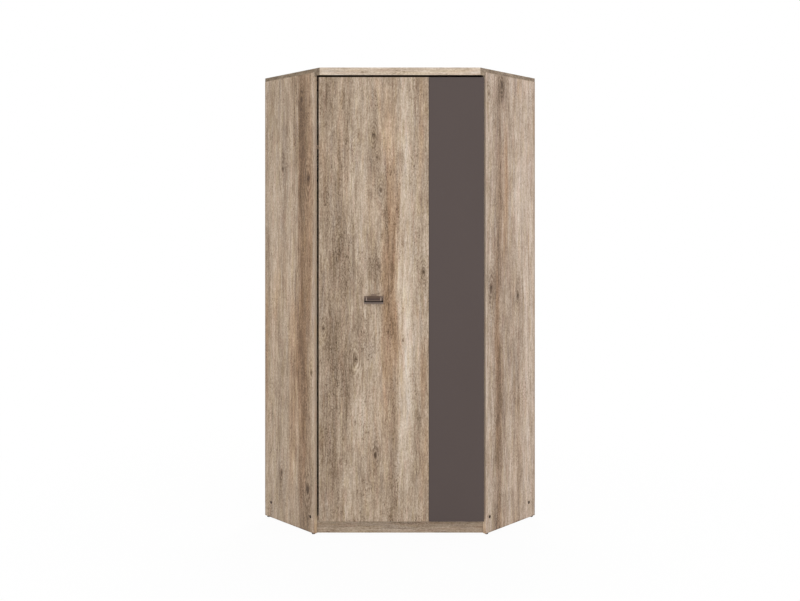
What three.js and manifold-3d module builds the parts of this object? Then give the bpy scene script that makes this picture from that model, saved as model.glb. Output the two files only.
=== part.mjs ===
import * as THREE from 'three';
import { mergeVertices } from 'three/addons/utils/BufferGeometryUtils.js';
import Module from 'manifold-3d';

const wasm = await Module();
wasm.setup();

// All sizes are in millimetres. The wardrobe fills a square room corner, with its one door on the diagonal.
// Plan sizes are measured from the two walls, heights from the floor.

// The footprint and the height
const wallLeg = 865; // along each wall, from the room corner to the outer face of a side panel
const sideDepth = 349; // how far each side panel stands out from its wall
const totalHeight = 1985;
const glideHeight = 5;

// Boards and sheets
const board = 16; // thickness of every carcass board
const backSheet = 3; // thickness of the two back sheets
const seat = 0.3; // clearance between pieces that meet
const cornerWidth = 100; // width of the two upright boards in the rear corner
const topOverhang = 25; // how far the top's front edge stands in front of the side panels
const stripHeight = 16;
const plinthHeight = 59;
const plinthSetback = 15;
const frontSetback = 4; // how far the bottom panel's and the shelf's front edges stand back
const hatSpace = 310; // free height over the shelf

// The door: two upright boards
const doorWidth = 700;
const doorThickness = 18;
const doorTopGap = 8; // under the front strip
const doorGap = 3; // between the door's back and the side panels' front corners
const hingeReveal = 9; // how far the hinge side of the door stays inside the outer corner
const oakWidth = 466;
const jointGap = 0.6; // the thin joint line between the two boards

// Dowels
const dowelRadius = 4;
const dowelLength = 40; // in the door's joint
const topDowelLength = 30;
const topDowelDepth = 20; // how deep the top's dowels sit in the side panels
const topDowelFront = 60; // first dowel, from the side panel's front end
const topDowelRear = 60; // second dowel, from the back sheet
const jointDowelShares = [0.12, 0.5, 0.88]; // shares of the door's height

// Screws through the side panels into the bottom panel
const sideScrewFront = 27; // from the side panel's front end
const sideScrewRear = 44; // from the wall
const screwHeadRadius = 6;
const screwHeadHeight = 3;
const screwShankRadius = 3.2;
const screwLength = 50;

// Floor glides
const glideRadius = 7.5;
const glideFootRadius = 6;
const glideInset = 14; // from a side panel's end to the middle of its glide

// Shelf supports: a pin in the board, a flange on its face and a ledge under the shelf
const supportPinRadius = 2.5;
const supportPinDepth = 9;
const supportWidth = 12;
const supportHeight = 13;
const supportFlange = 2;
const supportLedge = 16;
const supportInset = 45; // from the ends of a side panel

// Clothes rail: an oval tube in two brackets
const railHalfLength = 420;
const railBack = 300; // from the front line to the rail
const railDrop = 55; // from the shelf down to the middle of the rail
const railHeight = 30;
const railWidth = 15;
const railWall = 1.2;
const bracketPlate = 3;
const bracketWidth = 36;
const bracketFlange = 34;
const collarWall = 2;
const collarLength = 14;

// Hinges
const hingeShares = [0.055, 0.35, 0.65, 0.945]; // shares of the door's height
const cupRadius = 17.5;
const cupDepth = 12;
const cupWall = 1;
const cupEdge = 4; // door material left beside the cup
const cupFlangeRadius = 19.5;
const cupFlange = 1.2;
const cupEarReach = 31;
const cupEarHalf = 6.5;
const pinRadius = 1.5;
const pinInset = 10; // from the door's edge to the pin
const pinDepth = 7; // from the door's back face to the pin
const knuckleRadius = 3;
const armStrap = 3.8; // thickness of the bent arm
const armWidth = 12;
const armDrop = 0.5; // how far the arm's end lies in front of the pin
const armReach = 15.5; // from the pin to the upright part of the arm, clear of the door's swing
const armRise = 20; // from the pin back to the arm's bend
const armOffset = 7.3; // from the side panel to the middle of the arm
const armStart = 8; // from the panel's front end to the arm's second bend
const armEnd = 58; // from the panel's front end to the arm's rear end
const plateStart = 22;
const plateEnd = 50;
const plateHalfHeight = 26;
const plateThickness = 2.2;
const plateBossHalf = 7;

// Handle: a cup pull on a plate
const handleHeight = 985.5; // underside of the plate
const pullPlateWidth = 81;
const pullPlateHeight = 33.5;
const pullPlateThickness = 2.5;
const pullCorner = 1.5; // corner radius of the plate
const tabWidth = 31;
const tabHeight = 8;
const barHeight = 8;
const barThickness = 3.5;
const shellHalfLength = 35;
const shellHeight = 22;
const shellRise = 10.5; // from the plate's underside to the shell's open rim
const shellWall = 2;
const shellPower = 3.5; // how square the shell's ends are
const screwSpacing = 64;
const bossRadius = 4.5;
const bossDepth = 10;
const bossRise = 17; // from the plate's underside to the screws
const handleScrewRadius = 2;
const handleScrewDepth = 7; // thread in the boss
const handleScrewHead = 4.5;
const handleScrewHeadHeight = 2.2;

// Door buffers
const bufferRadius = 4;
const bufferInset = 60; // from the side panel's inner corner

// How finely round shapes are cut
const smallSides = 10;
const holeSides = 16;
const cupSides = 32;
const shellSteps = 12;
const shellSides = 32;
const cutOverrun = 2; // how far a cutter stands out of what it cuts

// Values that follow
const cos45 = Math.SQRT1_2; // cosine and sine of 45 degrees
const quarterTurn = Math.PI / 2;
const frontHalf = (wallLeg - sideDepth) * cos45; // half the front, between the outer front corners
const apexY = (wallLeg + sideDepth) * cos45; // from the front line to the room corner
const topUnder = totalHeight - board;
const bottomUnder = glideHeight + plinthHeight;
const bottomTop = bottomUnder + board;
const shelfTop = topUnder - hatSpace;
const shelfUnder = shelfTop - board;
const stripUnder = topUnder - stripHeight;
const sheetFace = backSheet + seat; // from a wall to what stands against its back sheet
const innerLeg = wallLeg - board - seat; // from the room corner to the side edges of the boards inside
const doorTop = stripUnder - doorTopGap;
const doorBottom = bottomUnder; // the door also covers the edge of the bottom panel
const doorHeight = doorTop - doorBottom;
const doorBack = -doorGap;
const doorFront = doorBack - doorThickness;
const doorRight = frontHalf - hingeReveal;
const doorLeft = doorRight - doorWidth;
const jointLeft = doorLeft + oakWidth;
const jointRight = jointLeft + jointGap;
const pinX = doorRight - pinInset;
const pinY = doorBack - pinDepth;
const cupX = doorRight - cupEdge - cupRadius;
const handleX = (doorLeft + jointLeft) / 2;
const pullBack = doorFront - seat;
const pullFace = pullBack - pullPlateThickness;
const frontmost = pullFace - shellHeight;
const middleY = (apexY + frontmost) / 2;

const material = (color, roughness, metalness) =>
  new THREE.MeshStandardMaterial({ color, roughness, metalness });
const oak = material(0xa99581, 0.72, 0);
const taupe = material(0x5b504d, 0.6, 0);
const rawSheet = material(0x9a7b57, 0.85, 0);
const nickel = material(0xb9bbbc, 0.32, 1);
const chrome = material(0xcfd2d4, 0.15, 1);
const bronze = material(0x5c4c3f, 0.48, 0.85);
const blackPlastic = material(0x1b1a1a, 0.55, 0);
const darkSteel = material(0x3b3029, 0.5, 0.7);
const beech = material(0xc8a57a, 0.75, 0);
const clearRubber = material(0xd9d8d2, 0.4, 0);

const wardrobe = new THREE.Group();
wardrobe.position.y = -middleY;

// The plan, with the front line at y = 0 and the room corner behind it. side is -1 for the left wall and 1
// for the right one, along is measured on that wall from the room corner, and off square from it.
function plan(side, along, off) {
  return [side * (along - off) * cos45, apexY - (along + off) * cos45];
}

// The direction, in plan, in which a screw goes through a side panel from outside
function inwardAngle(side) {
  return quarterTurn + (side * quarterTurn) / 2;
}

// The direction, in plan, that leads straight off a wall
function offWallAngle(side) {
  return -quarterTurn - (side * quarterTurn) / 2;
}

function add(name, geometry, finish, position = [0, 0, 0], turn = 0) {
  const mesh = new THREE.Mesh(geometry, finish);
  mesh.name = name;
  mesh.position.set(...position);
  mesh.rotation.z = turn;
  wardrobe.add(mesh);
}

function solidOf(geometry) {
  const bare = geometry.clone();
  bare.deleteAttribute('normal');
  bare.deleteAttribute('uv');
  const merged = mergeVertices(bare);
  const vertProperties = new Float32Array(merged.attributes.position.array);
  const triVerts = new Uint32Array(merged.index.array);
  return new wasm.Manifold(new wasm.Mesh({ numProp: 3, vertProperties, triVerts }));
}

function geometryOf(solid) {
  const mesh = solid.getMesh();
  const geometry = new THREE.BufferGeometry();
  geometry.setAttribute('position', new THREE.BufferAttribute(mesh.vertProperties, mesh.numProp));
  geometry.setIndex(new THREE.BufferAttribute(mesh.triVerts, 1));
  geometry.computeVertexNormals();
  return geometry;
}

function cut(geometry, cutters) {
  const solid = cutters.reduce((rest, cutter) => rest.subtract(solidOf(cutter)), solidOf(geometry));
  return geometryOf(solid);
}

function join(geometries) {
  const [first, ...others] = geometries.map(solidOf);
  return others.reduce((whole, other) => whole.add(other), first);
}

// An outline in plan, drawn up from one height to another
function prism(outline, bottom, top) {
  const shape = new THREE.Shape(outline.map(([x, y]) => new THREE.Vector2(x, y)));
  const geometry = new THREE.ExtrudeGeometry(shape, { depth: top - bottom, bevelEnabled: false });
  return geometry.translate(0, 0, bottom);
}

// A block given by its lowest and highest corners
function block([x0, y0, z0], [x1, y1, z1]) {
  const geometry = new THREE.BoxGeometry(x1 - x0, y1 - y0, z1 - z0);
  return geometry.translate((x0 + x1) / 2, (y0 + y1) / 2, (z0 + z1) / 2);
}

// A round bar that starts at a point and runs level in a direction of the plan
function levelBar(radius, length, [x, y, z], angle, sides = holeSides) {
  const geometry = new THREE.CylinderGeometry(radius, radius, length, sides);
  geometry.translate(0, length / 2, 0);
  return geometry.rotateZ(angle - quarterTurn).translate(x, y, z);
}

function uprightBar(radius, bottom, top, [x, y], sides = holeSides) {
  const geometry = new THREE.CylinderGeometry(radius, radius, top - bottom, sides);
  return geometry.rotateX(quarterTurn).translate(x, y, (bottom + top) / 2);
}

// Moves a point of the plan by a distance in a direction
function shifted([x, y], angle, distance) {
  return [x + Math.cos(angle) * distance, y + Math.sin(angle) * distance];
}

// Where each top dowel stands, on one side
function topDowelPlaces(side) {
  const middle = wallLeg - board / 2;
  return [plan(side, middle, sideDepth - topDowelFront), plan(side, middle, sheetFace + topDowelRear)];
}

// Where each screw goes in at a side panel's outer face, on one side
function sideScrewPlaces(side) {
  const height = bottomUnder + board / 2;
  return [sideDepth - sideScrewFront, sideScrewRear].map((off) => [...plan(side, wallLeg, off), height]);
}

// Where the shelf supports stand: two on the side panel and one on the corner board, with the direction
// in which each one's ledge points
function supportPlaces(side) {
  const panelFace = wallLeg - board;
  return [
    { place: plan(side, panelFace, sideDepth - supportInset), angle: inwardAngle(side) },
    { place: plan(side, panelFace, sheetFace + supportInset), angle: inwardAngle(side) },
    { place: plan(side, sheetFace + cornerWidth / 2, sheetFace + board), angle: offWallAngle(side) },
  ];
}

function supportBore({ place, angle }) {
  const height = shelfUnder - supportHeight / 2;
  const start = shifted(place, angle, cutOverrun);
  const depth = supportPinDepth + seat + cutOverrun;
  return levelBar(supportPinRadius + seat, depth, [...start, height], angle + Math.PI);
}

function sidePanel(side) {
  const outline = [
    plan(side, wallLeg, sheetFace),
    plan(side, wallLeg, sideDepth),
    plan(side, wallLeg - board, sideDepth),
    plan(side, wallLeg - board, sheetFace),
  ];
  const cutters = [];
  for (const place of topDowelPlaces(side)) {
    const bottom = topUnder - topDowelDepth - seat;
    cutters.push(uprightBar(dowelRadius + seat, bottom, topUnder + cutOverrun, place));
  }
  for (const [x, y, z] of sideScrewPlaces(side)) {
    const outside = [...shifted([x, y], inwardAngle(side), -cutOverrun), z];
    const headDepth = screwHeadHeight + seat + cutOverrun;
    cutters.push(levelBar(screwHeadRadius + seat, headDepth, outside, inwardAngle(side)));
    const through = board + cutOverrun + cutOverrun;
    cutters.push(levelBar(screwShankRadius + seat, through, outside, inwardAngle(side)));
  }
  const [front, rear] = supportPlaces(side);
  cutters.push(supportBore(front), supportBore(rear));
  return cut(prism(outline, glideHeight, topUnder), cutters);
}

// The outline that the bottom panel and the shelf share: between the side panels, with its rear corner cut
// round the two corner boards
function innerOutline() {
  const boardEnd = sheetFace + cornerWidth + seat;
  const boardFace = sheetFace + board + seat;
  const half = (side) => {
    const frontEnd = plan(side, innerLeg, sideDepth);
    return [
      [frontEnd[0], frontSetback],
      frontEnd,
      plan(side, innerLeg, sheetFace),
      plan(side, boardEnd, sheetFace),
      plan(side, boardEnd, boardFace),
    ];
  };
  return [...half(-1), plan(1, boardFace, boardFace), ...half(1).reverse()];
}

function bottomPanel() {
  const cutters = [];
  for (const side of [-1, 1]) {
    for (const [x, y, z] of sideScrewPlaces(side)) {
      cutters.push(levelBar(screwShankRadius + seat, screwLength + seat, [x, y, z], inwardAngle(side)));
    }
  }
  return cut(prism(innerOutline(), bottomUnder, bottomTop), cutters);
}

function topPanel() {
  const frontX = frontHalf - topOverhang;
  const outline = [
    [-frontX, -topOverhang],
    plan(-1, wallLeg, 0),
    plan(-1, 0, 0),
    plan(1, wallLeg, 0),
    [frontX, -topOverhang],
  ];
  const dowelTop = topUnder + topDowelLength - topDowelDepth + seat;
  const places = [...topDowelPlaces(-1), ...topDowelPlaces(1)];
  const cutters = places.map((place) =>
    uprightBar(dowelRadius + seat, topUnder - cutOverrun, dowelTop, place));
  return cut(prism(outline, topUnder, totalHeight), cutters);
}

// The strip that thickens the top's front edge, its ends in line with the side panels' outer faces
function topFrontStrip() {
  const frontX = frontHalf - topOverhang;
  const backX = frontHalf - seat;
  const outline = [[-frontX, -topOverhang], [-backX, -seat], [backX, -seat], [frontX, -topOverhang]];
  return prism(outline, stripUnder, topUnder);
}

// Half the width between the side panels at a depth behind the front line
function halfWidthAt(depth) {
  return innerLeg / cos45 - apexY + depth;
}

function plinthBoard() {
  const rear = plinthSetback + board;
  const frontX = halfWidthAt(plinthSetback);
  const rearX = halfWidthAt(rear);
  const outline = [[-frontX, plinthSetback], [frontX, plinthSetback], [rearX, rear], [-rearX, rear]];
  return prism(outline, glideHeight, bottomUnder);
}

// The two corner boards meet at a right angle: the left one runs into the corner, the right one ends on it
function cornerBoard(side) {
  const start = side < 0 ? sheetFace : sheetFace + board + seat;
  const end = sheetFace + cornerWidth;
  const face = sheetFace + board;
  const outline = [
    plan(side, start, sheetFace),
    plan(side, end, sheetFace),
    plan(side, end, face),
    plan(side, start, face),
  ];
  const bore = supportBore(supportPlaces(side)[2]);
  return cut(prism(outline, glideHeight, topUnder), [bore]);
}

// The back sheets meet in the room corner: the right one runs into it
function backSheetPanel(side) {
  const start = side < 0 ? sheetFace : 0;
  const outline = [
    plan(side, start, 0),
    plan(side, wallLeg, 0),
    plan(side, wallLeg, backSheet),
    plan(side, start, backSheet),
  ];
  return prism(outline, bottomUnder, topUnder);
}

function floorGlide() {
  const profile = [[0, 0], [glideFootRadius, 0], [glideRadius, glideRadius - glideFootRadius],
    [glideRadius, glideHeight], [0, glideHeight]];
  const points = profile.map(([radius, height]) => new THREE.Vector2(radius, height));
  return new THREE.LatheGeometry(points, holeSides).rotateX(quarterTurn);
}

// The head lies flush in the side panel's outer face; the screw runs along +X from there
function sideScrew() {
  const head = levelBar(screwHeadRadius, screwHeadHeight, [0, 0, 0], 0);
  return geometryOf(join([head, levelBar(screwShankRadius, screwLength, [0, 0, 0], 0)]));
}

// The ledge points along +X and its top is at z = 0
function shelfSupport() {
  const half = supportWidth / 2;
  const flange = block([seat, -half, -supportHeight], [seat + supportFlange, half, 0]);
  const ledge = block([seat, -half, -supportFlange], [seat + supportLedge, half, 0]);
  const pinEnd = seat + supportFlange;
  const pinStart = [-supportPinDepth, 0, -supportHeight / 2];
  const pin = levelBar(supportPinRadius, supportPinDepth + pinEnd, pinStart, 0, smallSides);
  return geometryOf(join([flange, ledge, pin]));
}

// An oval upright section, swept along +X from 0
function ovalBar(height, width, length) {
  const straight = (height - width) / 2;
  const radius = width / 2;
  const shape = new THREE.Shape();
  shape.absarc(straight, 0, radius, -quarterTurn, quarterTurn);
  shape.absarc(-straight, 0, radius, quarterTurn, quarterTurn + Math.PI);
  shape.closePath();
  const options = { depth: length, bevelEnabled: false, curveSegments: smallSides };
  return new THREE.ExtrudeGeometry(shape, options).rotateY(quarterTurn);
}

function hangingRail() {
  const length = (railHalfLength - bracketPlate - seat) * 2;
  const inside = ovalBar(railHeight - railWall * 2, railWidth - railWall * 2, length + cutOverrun * 2);
  const tube = cut(ovalBar(railHeight, railWidth, length), [inside.translate(-cutOverrun, 0, 0)]);
  return tube.translate(-length / 2, 0, 0);
}

// A bracket with the rail leading away along +X: an upright plate, a flange under the shelf and a collar
// round the rail's end. The middle of the rail is at z = 0.
function railBracket() {
  const half = bracketWidth / 2;
  const foot = -railHeight / 2 - collarWall - seat;
  const plate = block([0, -half, foot], [bracketPlate, half, railDrop]);
  const flange = block([0, -half, railDrop - bracketPlate], [bracketFlange, half, railDrop]);
  const clear = seat * 2;
  const ringHeight = railHeight + clear + collarWall * 2;
  const ringWidth = railWidth + clear + collarWall * 2;
  const ring = ovalBar(ringHeight, ringWidth, bracketPlate + collarLength);
  const socket = ovalBar(railHeight + clear, railWidth + clear, collarLength + cutOverrun);
  socket.translate(bracketPlate, 0, 0);
  return geometryOf(join([plate, flange, ring]).subtract(solidOf(socket)));
}

// The heights of the hinges
const hingeHeights = hingeShares.map((share) => doorBottom + doorHeight * share);

// A bent strip of even thickness along a line in plan, with mitred bends
function strap(line, thickness) {
  const half = thickness / 2;
  const points = line.map(([x, y]) => new THREE.Vector2(x, y));
  const normals = points.slice(1).map((point, i) => {
    const direction = point.clone().sub(points[i]).normalize();
    return new THREE.Vector2(-direction.y, direction.x);
  });
  const mitres = points.map((point, i) => {
    const before = normals[Math.max(i - 1, 0)];
    const after = normals[Math.min(i, normals.length - 1)];
    const mitre = before.clone().add(after);
    return mitre.multiplyScalar(half / (1 + before.dot(after)));
  });
  const left = points.map((point, i) => point.clone().add(mitres[i]).toArray());
  const right = points.map((point, i) => point.clone().sub(mitres[i]).toArray());
  return [...left, ...right.reverse()];
}

// The arm hooks round the door's edge into the cup and ends in a knuckle on the pin. It is drawn in plan,
// with its middle height at z = 0.
function hingeArm() {
  const inner = wallLeg - board - armOffset;
  const line = [
    [pinX, pinY - armDrop],
    [pinX - armReach, pinY - armDrop],
    [pinX - armReach, pinY + armRise],
    plan(1, inner, sideDepth - armStart),
    plan(1, inner, sideDepth - armEnd),
  ];
  const half = armWidth / 2;
  const knuckle = uprightBar(knuckleRadius, -half, half, [pinX, pinY]);
  const bore = uprightBar(pinRadius + seat, -armWidth, armWidth, [pinX, pinY]);
  return geometryOf(join([prism(strap(line, armStrap), -half, half), knuckle]).subtract(solidOf(bore)));
}

// The mounting plate on the side panel, with a raised middle that the arm is screwed to
function hingePlate() {
  const face = wallLeg - board - seat;
  const slab = (start, end, thickness, half) => prism([
    plan(1, face, sideDepth - start),
    plan(1, face, sideDepth - end),
    plan(1, face - thickness, sideDepth - end),
    plan(1, face - thickness, sideDepth - start),
  ], -half, half);
  const bossThickness = armOffset - armStrap / 2 - seat * 2;
  const wings = slab(plateStart, plateEnd, plateThickness, plateHalfHeight);
  return geometryOf(join([wings, slab(plateStart / 2, armEnd, bossThickness, plateBossHalf)]));
}

// The cup in the door's back, its flange lying on the back face
function hingeCup() {
  const back = doorBack + seat;
  const face = back + cupFlange;
  const floor = doorBack - cupDepth;
  const body = levelBar(cupRadius, back - floor, [cupX, floor, 0], quarterTurn, cupSides);
  const flange = levelBar(cupFlangeRadius, cupFlange, [cupX, back, 0], quarterTurn, cupSides);
  const ears = block([cupX - cupEarHalf, back, -cupEarReach], [cupX + cupEarHalf, face, cupEarReach]);
  const hollowStart = [cupX, floor + cupWall, 0];
  const hollow = levelBar(cupRadius - cupWall, cupDepth + cutOverrun, hollowStart, quarterTurn, cupSides);
  return geometryOf(join([body, flange, ears]).subtract(solidOf(hollow)));
}

function hingePin() {
  const reach = cupEdge + cupRadius - pinInset + pinRadius;
  const half = Math.sqrt((cupRadius - cupWall) ** 2 - reach ** 2) - seat * 2;
  return uprightBar(pinRadius, -half, half, [pinX, pinY], smallSides);
}

const jointDowelHeights = jointDowelShares.map((share) => doorBottom + doorHeight * share);

function jointDowelBores() {
  const length = dowelLength + jointGap + seat * 2;
  const start = jointLeft - dowelLength / 2 - seat;
  const middle = doorBack - doorThickness / 2;
  return jointDowelHeights.map((height) =>
    levelBar(dowelRadius + seat, length, [start, middle, height], 0));
}

function doorBoard(left, right, cutters) {
  const slab = block([left, doorFront, doorBottom], [right, doorBack, doorTop]);
  return cut(slab, [...jointDowelBores(), ...cutters]);
}

const handleScrewPlaces = [-1, 1].map((side) => handleX + (side * screwSpacing) / 2);
const handleScrewHeight = handleHeight + bossRise;

function oakBoard() {
  const length = doorThickness + cutOverrun * 2;
  const cutters = handleScrewPlaces.map((x) => {
    const start = [x, doorFront - cutOverrun, handleScrewHeight];
    return levelBar(handleScrewRadius + seat, length, start, quarterTurn);
  });
  return doorBoard(doorLeft, jointLeft, cutters);
}

function taupeBoard() {
  const depth = cupDepth + seat;
  const cutters = hingeHeights.map((height) => {
    const start = [cupX, doorBack - depth, height];
    return levelBar(cupRadius + seat, depth + cutOverrun, start, quarterTurn, cupSides);
  });
  return doorBoard(jointRight, doorRight, cutters);
}

// Half the outline of the shell, turned about its long axis: a rounded box shape, swept from end to end
function shellBody(halfLength, radius) {
  const points = [];
  for (let i = 0; i <= shellSteps; i += 1) {
    const angle = (Math.PI * i) / shellSteps;
    const x = Math.sign(Math.cos(angle)) * Math.abs(Math.cos(angle)) ** (2 / shellPower);
    const r = i % shellSteps === 0 ? 0 : Math.sin(angle) ** (2 / shellPower);
    points.push(new THREE.Vector2(r * radius, -x * halfLength));
  }
  return new THREE.LatheGeometry(points, shellSides).rotateZ(quarterTurn);
}

// The pull is drawn with its middle at x = 0, its back at y = 0 and its underside at z = 0, facing -Y
function handlePull() {
  const half = pullPlateWidth / 2;
  const tabHalf = tabWidth / 2;
  const shape = new THREE.Shape();
  shape.moveTo(-half + pullCorner, 0);
  shape.lineTo(half - pullCorner, 0);
  shape.quadraticCurveTo(half, 0, half, pullCorner);
  shape.lineTo(half, pullPlateHeight - pullCorner);
  shape.quadraticCurveTo(half, pullPlateHeight, half - pullCorner, pullPlateHeight);
  shape.lineTo(tabHalf, pullPlateHeight);
  const tabTop = pullPlateHeight + tabHeight;
  shape.bezierCurveTo(tabHalf / 2, pullPlateHeight, tabHalf, tabTop, tabHalf / 2, tabTop);
  shape.lineTo(-tabHalf / 2, tabTop);
  shape.bezierCurveTo(-tabHalf, tabTop, -tabHalf / 2, pullPlateHeight, -tabHalf, pullPlateHeight);
  shape.lineTo(-half + pullCorner, pullPlateHeight);
  shape.quadraticCurveTo(-half, pullPlateHeight, -half, pullPlateHeight - pullCorner);
  shape.lineTo(-half, pullCorner);
  shape.quadraticCurveTo(-half, 0, -half + pullCorner, 0);
  const options = { depth: pullPlateThickness, bevelEnabled: false, curveSegments: shellSteps };
  const plate = new THREE.ExtrudeGeometry(shape, options).rotateX(quarterTurn);
  const face = -pullPlateThickness;
  const bar = block([-half, face - barThickness, 0], [half, face / 2, barHeight]);

  const outer = solidOf(shellBody(shellHalfLength, shellHeight).translate(0, face, shellRise));
  const innerLength = shellHalfLength - shellWall;
  const innerRadius = shellHeight - shellWall;
  const inner = solidOf(shellBody(innerLength, innerRadius).translate(0, face, shellRise));
  const reach = shellHalfLength + cutOverrun;
  const depth = shellHeight + cutOverrun;
  const quarter = solidOf(block([-reach, face - depth, shellRise], [reach, face / 2, shellRise + depth]));
  const shell = outer.subtract(inner).intersect(quarter);

  let pull = join([plate, bar]).add(shell);
  for (const side of [-1, 1]) {
    const x = (side * screwSpacing) / 2;
    const boss = solidOf(levelBar(bossRadius, bossDepth, [x, face / 2, bossRise], -quarterTurn));
    pull = pull.add(boss.intersect(outer).intersect(quarter));
  }
  for (const side of [-1, 1]) {
    const x = (side * screwSpacing) / 2;
    const depthIn = handleScrewDepth + seat + cutOverrun;
    const start = [x, cutOverrun, bossRise];
    pull = pull.subtract(solidOf(levelBar(handleScrewRadius + seat, depthIn, start, -quarterTurn)));
  }
  return geometryOf(pull);
}

// The head lies on the door's back and the screw runs along -Y
function handleScrew() {
  const length = doorThickness + seat * 2 + handleScrewDepth;
  const head = levelBar(handleScrewHead, handleScrewHeadHeight, [0, seat, 0], quarterTurn, holeSides);
  const shank = levelBar(handleScrewRadius, length, [0, seat + seat, 0], -quarterTurn, smallSides);
  return geometryOf(join([head, shank]));
}

function doorBuffer() {
  const length = doorGap + frontSetback - seat * 2;
  return levelBar(bufferRadius, length, [0, 0, 0], quarterTurn, smallSides);
}

add('top_panel', topPanel(), oak);
add('top_front_strip', topFrontStrip(), oak);
add('bottom_panel', bottomPanel(), oak);
add('plinth_board', plinthBoard(), oak);
add('hat_shelf', prism(innerOutline(), shelfUnder, shelfTop), oak);

for (const [side, word] of [[-1, 'left'], [1, 'right']]) {
  add(`side_panel_${word}`, sidePanel(side), oak);
  add(`corner_board_${word}`, cornerBoard(side), oak);
  add(`back_sheet_${word}`, backSheetPanel(side), rawSheet);

  const glidePlaces = {
    front: plan(side, wallLeg - board / 2, sideDepth - glideInset),
    rear: plan(side, wallLeg - board / 2, sheetFace + glideInset),
    corner: plan(side, sheetFace + cornerWidth / 2, sheetFace + board / 2),
  };
  for (const [where, place] of Object.entries(glidePlaces)) {
    add(`glide_${word}_${where}`, floorGlide(), blackPlastic, [...place, 0]);
  }

  sideScrewPlaces(side).forEach((place, i) => {
    add(`side_screw_${word}_${['front', 'rear'][i]}`, sideScrew(), darkSteel, place, inwardAngle(side));
  });

  topDowelPlaces(side).forEach((place, i) => {
    const bottom = topUnder - topDowelDepth;
    const dowel = uprightBar(dowelRadius, bottom, bottom + topDowelLength, [0, 0]);
    add(`top_dowel_${word}_${['front', 'rear'][i]}`, dowel, beech, [...place, 0]);
  });

  supportPlaces(side).forEach(({ place, angle }, i) => {
    const name = `shelf_support_${word}_${['front', 'rear', 'corner'][i]}`;
    add(name, shelfSupport(), nickel, [...place, shelfUnder], angle);
  });

  const bracketPlace = [side * railHalfLength, railBack, shelfUnder - railDrop];
  add(`rail_bracket_${word}`, railBracket(), chrome, bracketPlace, side < 0 ? 0 : Math.PI);
}
add('hanging_rail', hangingRail(), chrome, [0, railBack, shelfUnder - railDrop]);

add('door_oak_board', oakBoard(), oak);
add('door_taupe_board', taupeBoard(), taupe);
jointDowelHeights.forEach((height, i) => {
  const start = [jointLeft + (jointGap - dowelLength) / 2, doorBack - doorThickness / 2, height];
  add(`door_dowel_${i + 1}`, levelBar(dowelRadius, dowelLength, [0, 0, 0], 0), beech, start);
});
add('handle_pull', handlePull(), bronze, [handleX, pullBack, handleHeight]);
handleScrewPlaces.forEach((x, i) => {
  const name = `handle_screw_${['left', 'right'][i]}`;
  add(name, handleScrew(), nickel, [x, doorBack, handleScrewHeight]);
});

hingeHeights.forEach((height, i) => {
  add(`hinge_plate_${i + 1}`, hingePlate(), nickel, [0, 0, height]);
  add(`hinge_arm_${i + 1}`, hingeArm(), nickel, [0, 0, height]);
  add(`hinge_cup_${i + 1}`, hingeCup(), nickel, [0, 0, height]);
  add(`hinge_pin_${i + 1}`, hingePin(), nickel, [0, 0, height]);
});

const bufferX = bufferInset - frontHalf;
for (const [word, height] of [['bottom', bottomUnder + board / 2], ['shelf', shelfUnder + board / 2]]) {
  add(`door_buffer_${word}`, doorBuffer(), clearRubber, [bufferX, doorBack + seat, height]);
}

export default wardrobe;
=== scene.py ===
"""Finishes and fine detail for a corner wardrobe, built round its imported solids, in metres."""

import math

import bmesh
import bpy
from mathutils import Matrix, Vector


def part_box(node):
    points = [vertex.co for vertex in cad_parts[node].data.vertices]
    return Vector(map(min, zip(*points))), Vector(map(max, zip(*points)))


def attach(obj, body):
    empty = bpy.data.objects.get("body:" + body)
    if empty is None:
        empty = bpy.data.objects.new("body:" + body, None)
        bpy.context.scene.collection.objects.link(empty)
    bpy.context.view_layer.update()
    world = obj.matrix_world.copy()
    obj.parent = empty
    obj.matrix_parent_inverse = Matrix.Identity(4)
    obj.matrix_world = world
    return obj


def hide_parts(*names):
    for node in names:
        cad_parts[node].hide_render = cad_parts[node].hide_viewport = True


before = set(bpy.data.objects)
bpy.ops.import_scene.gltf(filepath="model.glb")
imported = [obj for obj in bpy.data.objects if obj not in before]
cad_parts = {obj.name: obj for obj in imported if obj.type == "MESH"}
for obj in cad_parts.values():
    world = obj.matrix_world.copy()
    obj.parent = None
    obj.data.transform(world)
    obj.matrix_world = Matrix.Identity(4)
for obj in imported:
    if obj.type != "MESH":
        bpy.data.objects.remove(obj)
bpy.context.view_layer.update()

# Side panels
# Two upright boards of particleboard faced with a weathered oak decor, their edges banded.
# Each stands square to its wall, and two screws through its foot hold the bottom panel.
SIDES = ((-1, "left"), (1, "right"))
WALL_LEG = 0.865  # along each wall, from the room corner
SIDE_DEPTH = 0.349  # from the wall to the front end of a side panel
BOARD = 0.016
BACK_SHEET = 0.003
SEAT = 0.0003  # clearance between pieces that meet
SHEET_FACE = BACK_SHEET + SEAT  # from the wall to what stands against a back sheet
COS45 = math.sqrt(0.5)
ROOM_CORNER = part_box("top_panel")[1].y
BOARD_EDGE = 0.0008
FACING = 0.9  # the least cosine at which a face counts as looking along a direction
BIT_START = 0.002  # how far outside a board a bore begins
SIDE_SCREWS = {"front": SIDE_DEPTH - 0.027, "rear": 0.044}  # how far off the wall
SCREW_HEAD_RADIUS = 0.007
SCREW_HEAD_DEPTH = 0.0033
TOP_DOWELS = {"front": SIDE_DEPTH - 0.06, "rear": SHEET_FACE + 0.06}  # how far off the wall
TOP_DOWEL_DEPTH = 0.0203
DOWEL_RADIUS = 0.004
SUPPORT_INSET = 0.045  # from the ends of a side panel
SUPPORT_BORE_RADIUS = 0.0028
SUPPORT_BORE_DEPTH = 0.0093
SUPPORT_DROP = 0.0065  # from the shelf down to the pin of a support


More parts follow.
